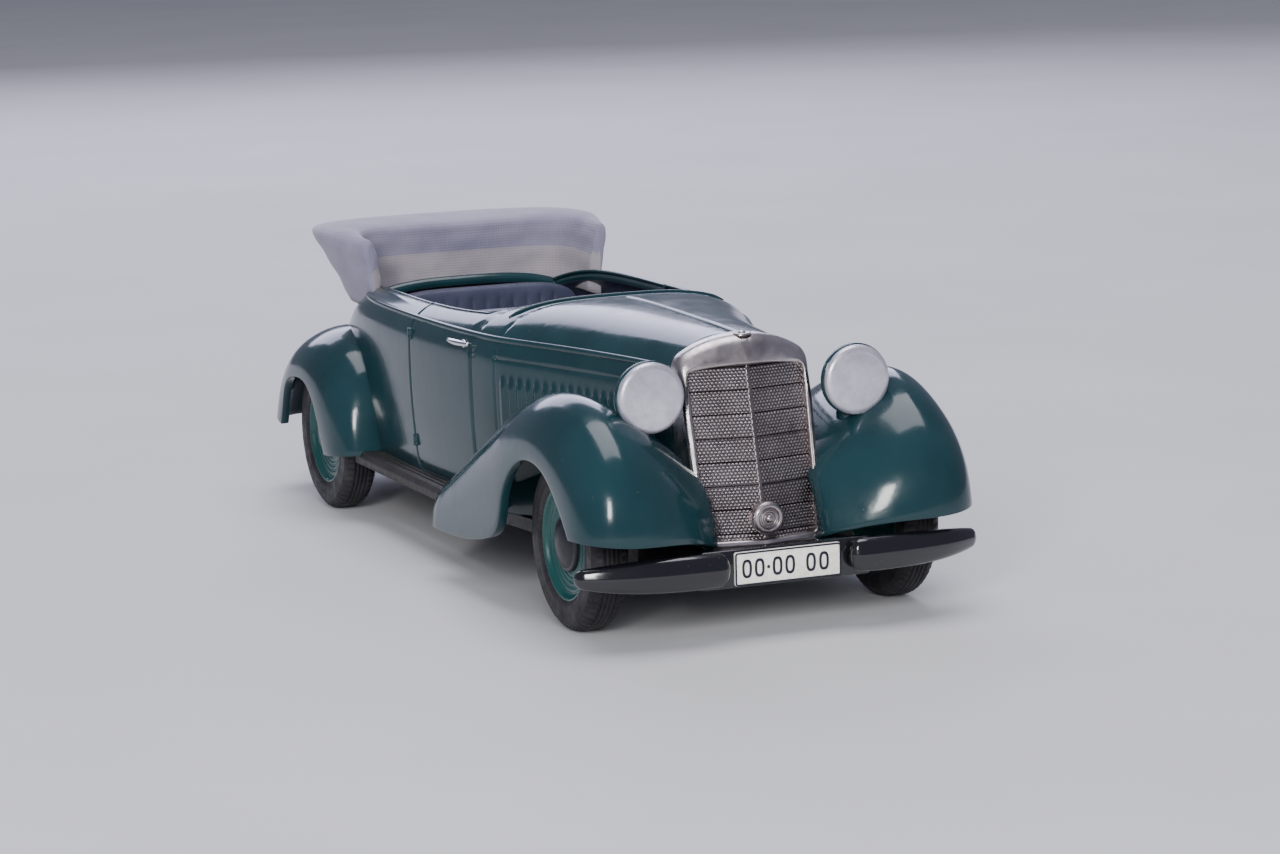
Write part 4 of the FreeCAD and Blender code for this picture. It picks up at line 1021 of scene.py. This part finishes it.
def tyre_profile():
    """Across the tyre from its inner bead to its outer bead, with grooves in the tread."""
    side = [(1.42, 5.0), (1.62, 5.2), (1.70, 5.5), (1.735, 5.62), (1.70, 5.74), (1.75, 6.1), (1.75, 6.6),
            (1.72, 6.85), (1.735, 6.95), (1.66, 7.05), (1.5, 7.35), (1.25, 7.58), (HALF_TREAD, 7.71)]
    tread = []
    for groove in (-0.62, -0.21, 0.21, 0.62):
        tread += [(groove + across, out) for across, out in ((-0.085, 7.74), (-0.05, 7.60), (0.05, 7.60),
                                                             (0.085, 7.74))]
    return [(-a, r) for a, r in side] + tread + [(a, r) for a, r in reversed(side)]


def notched(along, out, angle):
    """Small notches round both shoulders of the tread."""
    on_shoulder = smooth_step(np.abs(along), 0.80, 0.98) * smooth_step(-np.abs(along), -1.60, -1.40)
    return -0.17 * on_shoulder * smooth_step(np.cos(NOTCHES * angle), 0.2, 0.7)


def wheel_pieces(tag, centre, axis, body, nodes):
    """Tyre, pressed disc and hub cap about one axis; nodes are the CAD pieces that they stand for."""
    tyre = turned(tyre_profile(), centre, axis, NOTCHES * 6, notched)
    disc = turned(rounded_profile(DISC_FRONT + DISC_BACK, 0.06, 3), centre, axis, 128)
    grid_piece("tread_" + tag, tyre, RUBBER, nodes[0], body, close_rows=True)
    grid_piece("disc_" + tag, disc, WHEEL_GREEN, nodes[1], body, close_rows=True, close_columns=True)
    lathe("cap_" + tag, CAP, centre, axis, CAP_BLACK, nodes[2], body=body)


def make_wheels():
    for end, toward in ENDS:
        for side, mirror in SIDES:
            centre = centre_mm("tyre_%s_%s" % (end, side))
            nodes = ["%s_%s_%s" % (piece, end, side) for piece in ("tyre", "wheel_disc", "hub_cap")]
            wheel_pieces("%s_%s" % (end, side), centre, (mirror[0], 0, 0), end + "_wheelset", nodes)


SPARE_PLACE = (80.1, 15.5)           # behind the front axle and above the ground
SPARE_LEAN = math.radians(35)


def make_spare():
    """The spare wheel lies let into the tail, with its face turned back and up."""
    behind, height = SPARE_PLACE
    wheel_pieces("spare", (0, y_at(behind), height), (0, math.cos(SPARE_LEAN), math.sin(SPARE_LEAN)), "car",
                 ["spare_tyre", "spare_wheel_disc", "spare_hub_cap"])


# ---------------------------------------------------------------- folded hood

# Half plans of the folded hood at heights below its top: outer edge, then inner edge, each from
# the arm's front end to the middle of the rear, as (x, behind the front axle).
HOOD_LEVELS = [
    (7.6, [(12.5, 62.0), (12.7, 66.0), (12.0, 70.0), (10.0, 73.6), (5.4, 75.4), (0, 75.8)],
     [(11.3, 62.0), (11.2, 66.6), (9.6, 69.4), (5.4, 70.2), (0, 70.3)]),
    (3.8, [(13.0, 61.5), (13.7, 66.0), (13.8, 70.0), (12.0, 74.6), (7.0, 76.9), (0, 77.4)],
     [(11.5, 61.6), (11.4, 66.4), (9.8, 69.0), (5.6, 69.8), (0, 69.9)]),
    (1.3, [(13.3, 61.2), (14.6, 66.0), (15.1, 70.2), (13.5, 76.1), (7.8, 78.7), (0, 79.2)],
     [(12.0, 61.4), (11.8, 66.0), (10.2, 68.8), (5.8, 69.5), (0, 69.6)]),
    (0.35, [(13.1, 61.3), (14.3, 66.1), (14.8, 70.4), (13.3, 75.9), (7.7, 78.4), (0, 78.9)],
     [(12.4, 61.5), (12.3, 66.2), (10.4, 69.2), (5.9, 69.9), (0, 70.0)]),
]


HOOD_LENGTH = 150                    # points from one arm's end to the other
HOOD_SECTION = 76                    # points round the section
LINING_START = 52                    # the point of the section where the inner side begins
LINING_DROP = 3.4                    # the lining's band begins this far below the top


def hood_path(points, samples):
    """A smooth line from one arm's end round the rear to the other, at evenly spread places."""
    points = np.array(points, float)
    whole = np.concatenate([points, (points * (-1, 1))[-2::-1]])
    line = smooth_line(whole, 400)
    length = run_length(line)
    even = np.linspace(0, length[-1], samples)
    return np.stack([np.interp(even, length, line[:, 0]), y_at(np.interp(even, length, line[:, 1]))], axis=1)


def make_hood():
    """One folded bundle: a section that flares out at the top, swept round the cockpit's rear."""
    edges = []
    for below, outer, inner in HOOD_LEVELS:
        height = np.full(HOOD_LENGTH, HOOD_TOP - below)
        edges.append([np.column_stack([hood_path(line, HOOD_LENGTH), height]) for line in (outer, inner)])
    droop = 0.5 * smooth_step(np.abs(np.linspace(-1, 1, HOOD_LENGTH)), 0.72, 1.0)
    crown = (edges[-1][0] + edges[-1][1]) / 2
    crown[:, 2] = HOOD_TOP - 0.04
    columns = [edge[0] for edge in edges] + [crown] + [edge[1] for edge in reversed(edges)]
    net = np.array(columns)
    depth = HOOD_LEVELS[0][0]
    rise = (net[..., 2] - (HOOD_TOP - depth)) / depth
    net[..., 2] -= droop[None, :] * np.clip(rise, 0, 1)
    poles = lifted(net)
    section = np.einsum("ai,ijk->ajk", spline_weights(len(net), HOOD_SECTION), poles).transpose(1, 0, 2)
    normal = normals_of(section)
    along = np.linspace(-1, 1, HOOD_LENGTH)[:, None]
    z = section[..., 2]
    fold = 0.05 * np.sin(2 * math.pi * (z + 0.5 * np.cos(5 * along)) / 2.6)
    fold = fold * smooth_step(HOOD_TOP - z, 1.0, 2.2)
    pucker = 0.02 * np.sin(23 * along + 2 * z) * smooth_step(HOOD_TOP - z, 0.3, 1.5)
    section = section + normal * (fold + pucker)[..., None]
    ends = []
    for first, second in ((0, 1), (-1, -2)):
        forward = section[first] - section[second]
        forward /= np.linalg.norm(forward, axis=1, keepdims=True)
        middle = section[first].mean(axis=0)
        spine = np.column_stack([np.full((HOOD_SECTION, 2), middle[:2]), section[first][:, 2]])
        rounding = []
        for t in np.linspace(0, math.pi / 2, 8)[1:]:
            shrunk = spine + (section[first] - spine) * (0.06 + 0.94 * math.cos(t))
            shrunk[:, 2] = section[first][:, 2] - 0.5 * (1 - math.cos(t))
            rounding.append(shrunk + forward * 0.45 * math.sin(t))
        ends.append(rounding)
    grid = np.concatenate([np.array(ends[0])[::-1], section, np.array(ends[1])])
    hood = grid_piece("hood_bundle", grid, HOOD, "folded_hood", close_columns=True, caps=True)
    hood.data.materials.append(BAND)
    lining = (np.arange(HOOD_SECTION) > LINING_START) & (grid[:-1, :, 2] < HOOD_TOP - LINING_DROP)
    two_ends = [0, 0]
    hood.data.polygons.foreach_set("material_index", lining.astype(int).ravel().tolist() + two_ends)


# ---------------------------------------------------------------- interior

def pleated_block(low, high, lean, pleats, squareness=6.0, front=False):
    """A rounded block with sewn-looking pleats on its top, or on its front for a backrest."""
    grid = cushion_block(low, high, squareness, 40 + 14 * pleats, 120)
    low, high = np.array(low, float), np.array(high, float)
    share = (grid - low) / (high - low)
    pleat = np.abs(np.sin(math.pi * pleats * share[..., 0])) ** 0.5
    inside = smooth_step(share[..., 0], 0.06, 0.16) * smooth_step(1 - share[..., 0], 0.06, 0.16)
    if front:
        on_face = smooth_step(1 - share[..., 1], 0.55, 0.9)
        inside = inside * on_face * smooth_step(1 - share[..., 2], 0.06, 0.14)
        grid[..., 1] += 0.22 * (1 - pleat) * inside
    else:
        on_face = smooth_step(share[..., 2], 0.55, 0.9)
        inside = inside * on_face * smooth_step(share[..., 1], 0.05, 0.15)
        grid[..., 2] -= 0.22 * (1 - pleat) * inside
    grid[..., 1] += lean * (grid[..., 2] - low[2])
    return grid


def make_seats():
    """Front seats and rear bench: pleated cushion and backrest in one moulding."""
    for node, pleats in (("front_seat_left", 6), ("front_seat_right", 6), ("rear_bench", 14)):
        (left, front, foot), (right, rear, top) = box_mm(node)
        back_front = front + 0.68 * (rear - front)
        base = cushion_block((left, front + 0.5, foot), (right, rear - 1.0, foot + 2.6), 9)
        cushion = pleated_block((left, front, foot + 1.6), (right, rear - 2.0, foot + 4.4), 0, pleats)
        back = pleated_block((left, back_front, foot + 1.5), (right, rear - 0.7, top), 0.06, pleats, 5.0,
                             front=True)
        joined(node + "_moulding", [looped(grid) for grid in (base, cushion, back)], INTERIOR, node)


def make_dashboard():
    """A curved board with three instruments and a glove box line."""
    low, high = box_mm("dashboard")
    grid = cushion_block(low, high, 8, 50, 140)
    grid[..., 2] -= 0.5 * (np.abs(grid[..., 0]) / high[0]) ** 4 * (grid[..., 2] > low[2] + 2)
    grid_piece("instrument_board", grid, DASH, "dashboard", close_columns=True)
    ring = rounded_profile([(-0.1, 0.95), (0.22, 0.95), (0.22, 0.75), (0.05, 0.7), (0.05, 0)], 0.06, 4)
    for number, across in enumerate((3.0, 5.4, 7.8)):
        lathe("instrument_%d" % number, ring, (across, high[1], low[2] + 2.7), (0, 1, 0), CHROME, steps=48)
    outline = rounded_rectangle(2.6, low[2] + 1.2, high[2] - 1.2, 0.4) + (-6.0, 0)
    loop = upright(outline, high[1] + 0.02)
    closed = np.concatenate([loop, loop[:1]])
    joined("glove_box_line", [looped(tube(closed, 0.09, 8, up=(0, 1, 0)))], DASH)


def make_steering():
    """A thin ring with three spokes on its column."""
    middle = centre_mm("steering_wheel")
    tilt = math.radians(78)
    normal, first, second = basis((0, math.sin(tilt), math.cos(tilt)))
    angle = np.linspace(0, 2 * math.pi, 97)
    ring = middle + 3.2 * (np.cos(angle)[:, None] * first + np.sin(angle)[:, None] * second)
    pieces = [looped(tube(ring, 0.3, 12, up=normal))]
    for spoke in np.radians((10, 170, -90)):
        outward = math.cos(spoke) * first + math.sin(spoke) * second
        path = middle + np.linspace(0.3, 3.1, 12)[:, None] * outward
        pieces.append(capped(tube(path, np.linspace(0.26, 0.17, 12), 10, 0.6, up=normal)))
    hub = [(-0.3, 0), (-0.3, 0.7), (0.1, 0.8), (0.28, 0.6), (0.34, 0.3), (0.36, 0)]
    pieces.append(spun(turned(hub, middle, normal, 40)))
    joined("steering_ring", pieces, DASH, "steering_wheel")
    reach = np.linspace(-0.2, -6.0, 20)[:, None]
    column = tube(middle + reach * normal, 0.42 + 0.03 * np.sin(reach[:, 0]), 20, up=first)
    joined("column_tube", [capped(column)], DASH, "steering_column")


def make_lever():
    low, high = box_mm("gear_lever")
    profile = [(0, 0.62), (0.25, 0.55), (0.5, 0.32), (0.8, 0.27), (5.6, 0.24), (5.85, 0.3), (6.0, 0.45),
               (6.3, 0.66), (6.6, 0.68), (6.9, 0.5), (7.08, 0)]
    foot = (0, (low[1] + high[1]) / 2, low[2])
    lathe("lever_and_knob", profile, foot, (0, 0, 1), DASH, "gear_lever", 40)


# ---------------------------------------------------------------- trim

def make_handles():
    """Each handle is a slim tapered bar on a round boss."""
    low, high = box_mm("door_handles")
    places = np.linspace(low[1], high[1], 30)
    middle = (low[2] + high[2]) / 2
    skin = np.array([body_half_width(y - y_at(0), middle) for y in places])
    bow = 0.34 * np.sin(np.linspace(0, math.pi, 30)) ** 0.5
    path = np.column_stack([skin + 0.05 + bow, places, np.full(30, middle)])
    thick = 0.16 + 0.17 * np.sin(np.linspace(0.15, math.pi - 0.25, 30)) ** 0.7
    boss = [(0, 0), (0, 0.42), (0.28, 0.38), (0.36, 0.2), (0.38, 0)]
    boss_place = np.array([skin[6], places[6], middle])
    pieces = []
    for _, mirror in SIDES:
        pieces.append(capped(tube(path * mirror, thick, 14, flat=0.9)))
        pieces.append(spun(turned(boss, boss_place * mirror, (mirror[0], 0, 0), 32)))
    joined("handle_bars", pieces, CHROME, "door_handles")


def make_hinges():
    """Two barrel hinges on each door's rear edge."""
    low, high = box_mm("door_hinges")
    y = (low[1] + high[1]) / 2
    profile = rounded_profile([(-0.55, 0), (-0.55, 0.36), (-0.2, 0.36), (-0.2, 0.30), (-0.15, 0.30),
                               (-0.15, 0.36), (0.55, 0.36), (0.55, 0)], 0.05, 3)
    pieces = []
    for _, mirror in SIDES:
        for height in (low[2] + 0.55, high[2] - 0.55):
            place = np.array([body_half_width(y - y_at(0), height) + 0.02, y, height])
            pieces.append(spun(turned(profile, place * mirror, (0, 0, 1), 28)))
    hinges = joined("hinge_barrels", pieces, GREEN, "door_hinges")


def make_tail_lamps():
    """Each lamp is a small black bowl with a ribbed red lens."""
    low, high = box_mm("tail_lamps")
    centre = np.array([high[0] - 0.95, low[1], (low[2] + high[2]) / 2])
    bowl = [(0, 0), (0, 0.9), (1.0, 0.95), (1.3, 0.95), (1.36, 0.86), (1.3, 0.78)]
    lens = [(1.1, 0.84), (1.36, 0.82), (1.5, 0.74), (1.72, 0.5), (1.84, 0.2), (1.86, 0)]
    bowls, lenses = [[spun(turned(profile, centre * mirror, (0, 1, 0), 48)) for _, mirror in SIDES]
                     for profile in (bowl, lens)]
    joined("tail_lamp_bowls", bowls, BLACK)
    joined("tail_lamp_lenses", lenses, RED, "tail_lamps")


def make_cowl_rail():
    """The slim rail across the scuttle, where the windscreen would stand."""
    low, high = box_mm("cowl_rail")
    y = (low[1] + high[1]) / 2
    x, z = body_section(y - y_at(0))[:2]
    line_x = np.linspace(-high[0], high[0], 90)
    line_z = np.interp(np.abs(line_x), x[::-1], z[::-1])
    path = np.column_stack([line_x, np.full(90, y), line_z + 0.05])
    taper = 0.20 * np.minimum(1, np.minimum(np.arange(90) + 2, 91 - np.arange(90)) / 6)
    joined("scuttle_rail", [capped(tube(path, taper, 14))], GREEN, "cowl_rail")


def make_boards():
    """Running boards with raised ribs along them."""
    low, high = box_mm("running_board_left")
    across = np.linspace(low[0] + 0.2, high[0] - 0.02, 120)
    ribs = 0.09 * np.abs(np.sin(math.pi * (across - low[0]) / 0.62)) ** 0.6
    top = high[2] - 0.1 + ribs - 0.5 * smooth_step(across, high[0] - 0.45, high[0]) ** 2
    foot = [(high[0] - 0.02, low[2] + 0.1), (low[0], low[2] + 0.1)]
    section = np.concatenate([np.column_stack([across, top]), foot])
    grid = np.array([upright(section, y) for y in np.linspace(low[1], high[1], 12)])
    for side, mirror in SIDES:
        grid_piece("board_" + side, grid * mirror, BOARD, "running_board_" + side,
                   close_columns=True, caps=True)


def finish_cad_nodes():
    """The flat castings and turned axles keep their CAD shape and get their finish here."""
    finishes = {"base_plate": BASE, "front_axle_strap": BASE, "rear_axle_strap": BASE, "exhaust_pipe": STEEL,
                "front_axle": STEEL, "rear_axle": STEEL, "base_screws": STEEL, "interior_floor": INTERIOR}
    for node, material in finishes.items():
        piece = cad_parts[node]
        piece.data.materials.clear()
        piece.data.materials.append(material)
        bevel(piece, 0.12)


# ---------------------------------------------------------------- camera, light and floor

# Angles in degrees; the target is a place across, behind the front axle and up.
CAMERA = {"azimuth": -22.67, "elevation": 9.64, "roll": -1.38, "distance": 359.5,
          "target": (-2.12, 16.40, 14.47), "lens": 109.3}


def make_camera():
    azimuth, elevation, roll = (math.radians(CAMERA[key]) for key in ("azimuth", "elevation", "roll"))
    back = Vector((math.sin(azimuth) * math.cos(elevation), -math.cos(azimuth) * math.cos(elevation),
                   math.sin(elevation)))
    right = (-back).cross(Vector((0, 0, 1))).normalized()
    up = right.cross(-back)
    tilted_right = right * math.cos(roll) + up * math.sin(roll)
    tilted_up = up * math.cos(roll) - right * math.sin(roll)
    across, behind, height = CAMERA["target"]
    target = Vector((across, y_at(behind), height)) * MM
    data = bpy.data.cameras.new("camera")
    data.lens = CAMERA["lens"]
    data.sensor_width = 36
    data.clip_start = 0.01
    camera = bpy.data.objects.new("camera", data)
    camera.matrix_world = Matrix((
        (tilted_right.x, tilted_up.x, back.x, 0), (tilted_right.y, tilted_up.y, back.y, 0),
        (tilted_right.z, tilted_up.z, back.z, 0), (0, 0, 0, 1)))
    camera.location = target + back * CAMERA["distance"] * MM
    bpy.context.scene.collection.objects.link(camera)
    bpy.context.scene.camera = camera


def area_light(name, place, aim, size, power, colour=(1, 1, 1)):
    data = bpy.data.lights.new(name, "AREA")
    data.shape = "RECTANGLE"
    data.size, data.size_y = size
    data.energy = power
    data.color = colour
    light = bpy.data.objects.new(name, data)
    light.location = place
    direction = Vector(aim) - Vector(place)
    light.rotation_euler = direction.to_track_quat("-Z", "Y").to_euler()
    bpy.context.scene.collection.objects.link(light)
    return light


def make_studio():
    """A pale floor and surround, and four soft lights: behind, above, at the car's right and in front."""
    floor_mesh = bpy.data.meshes.new("floor")
    reach = 3.0
    floor_mesh.from_pydata([(-reach, -reach, 0), (reach, -reach, 0), (reach, reach, 0), (-reach, reach, 0)],
                           [], [(0, 1, 2, 3)])
    material = finish("floor_paper", (0.62, 0.62, 0.64), 0.9, (40.0, 0.60, 0.64, (0.3, 0.7)))[0]
    floor_mesh.materials.append(material)
    floor = bpy.data.objects.new("floor", floor_mesh)
    bpy.context.scene.collection.objects.link(floor)
    world = bpy.data.worlds.new("studio")
    bpy.context.scene.world = world
    world.use_nodes = True
    background = world.node_tree.nodes["Background"]
    background.inputs["Color"].default_value = (0.74, 0.76, 1.0, 1)
    background.inputs["Strength"].default_value = 0.26
    area_light("back_window", (0.10, 0.50, 0.30), (0, 0.02, 0.02), (0.45, 0.28), 2.0, (0.76, 0.76, 1.0))
    area_light("overhead", (0.02, 0.0, 0.60), (0, 0, 0), (0.4, 0.4), 2.6, (0.95, 0.94, 1.0))
    area_light("side_box", (-0.30, -0.42, 0.20), (0, 0, 0.01), (0.07, 0.14), 1.3)
    fill = area_light("front_fill", (-0.25, -0.75, 0.35), (0, 0, 0.01), (0.5, 0.4), 5.5, (0.95, 0.95, 1.0))
    fill.visible_glossy = False


make_camera()
make_studio()
make_rim(make_body())
make_wings()
make_radiator_shell()
make_grille()
make_radiator_details()
make_lamps()
make_bumpers()
make_plates()
make_wheels()
make_spare()
make_hood()
make_seats()
make_dashboard()
make_steering()
make_lever()
make_handles()
make_hinges()
make_tail_lamps()
make_cowl_rail()
make_boards()
finish_cad_nodes()
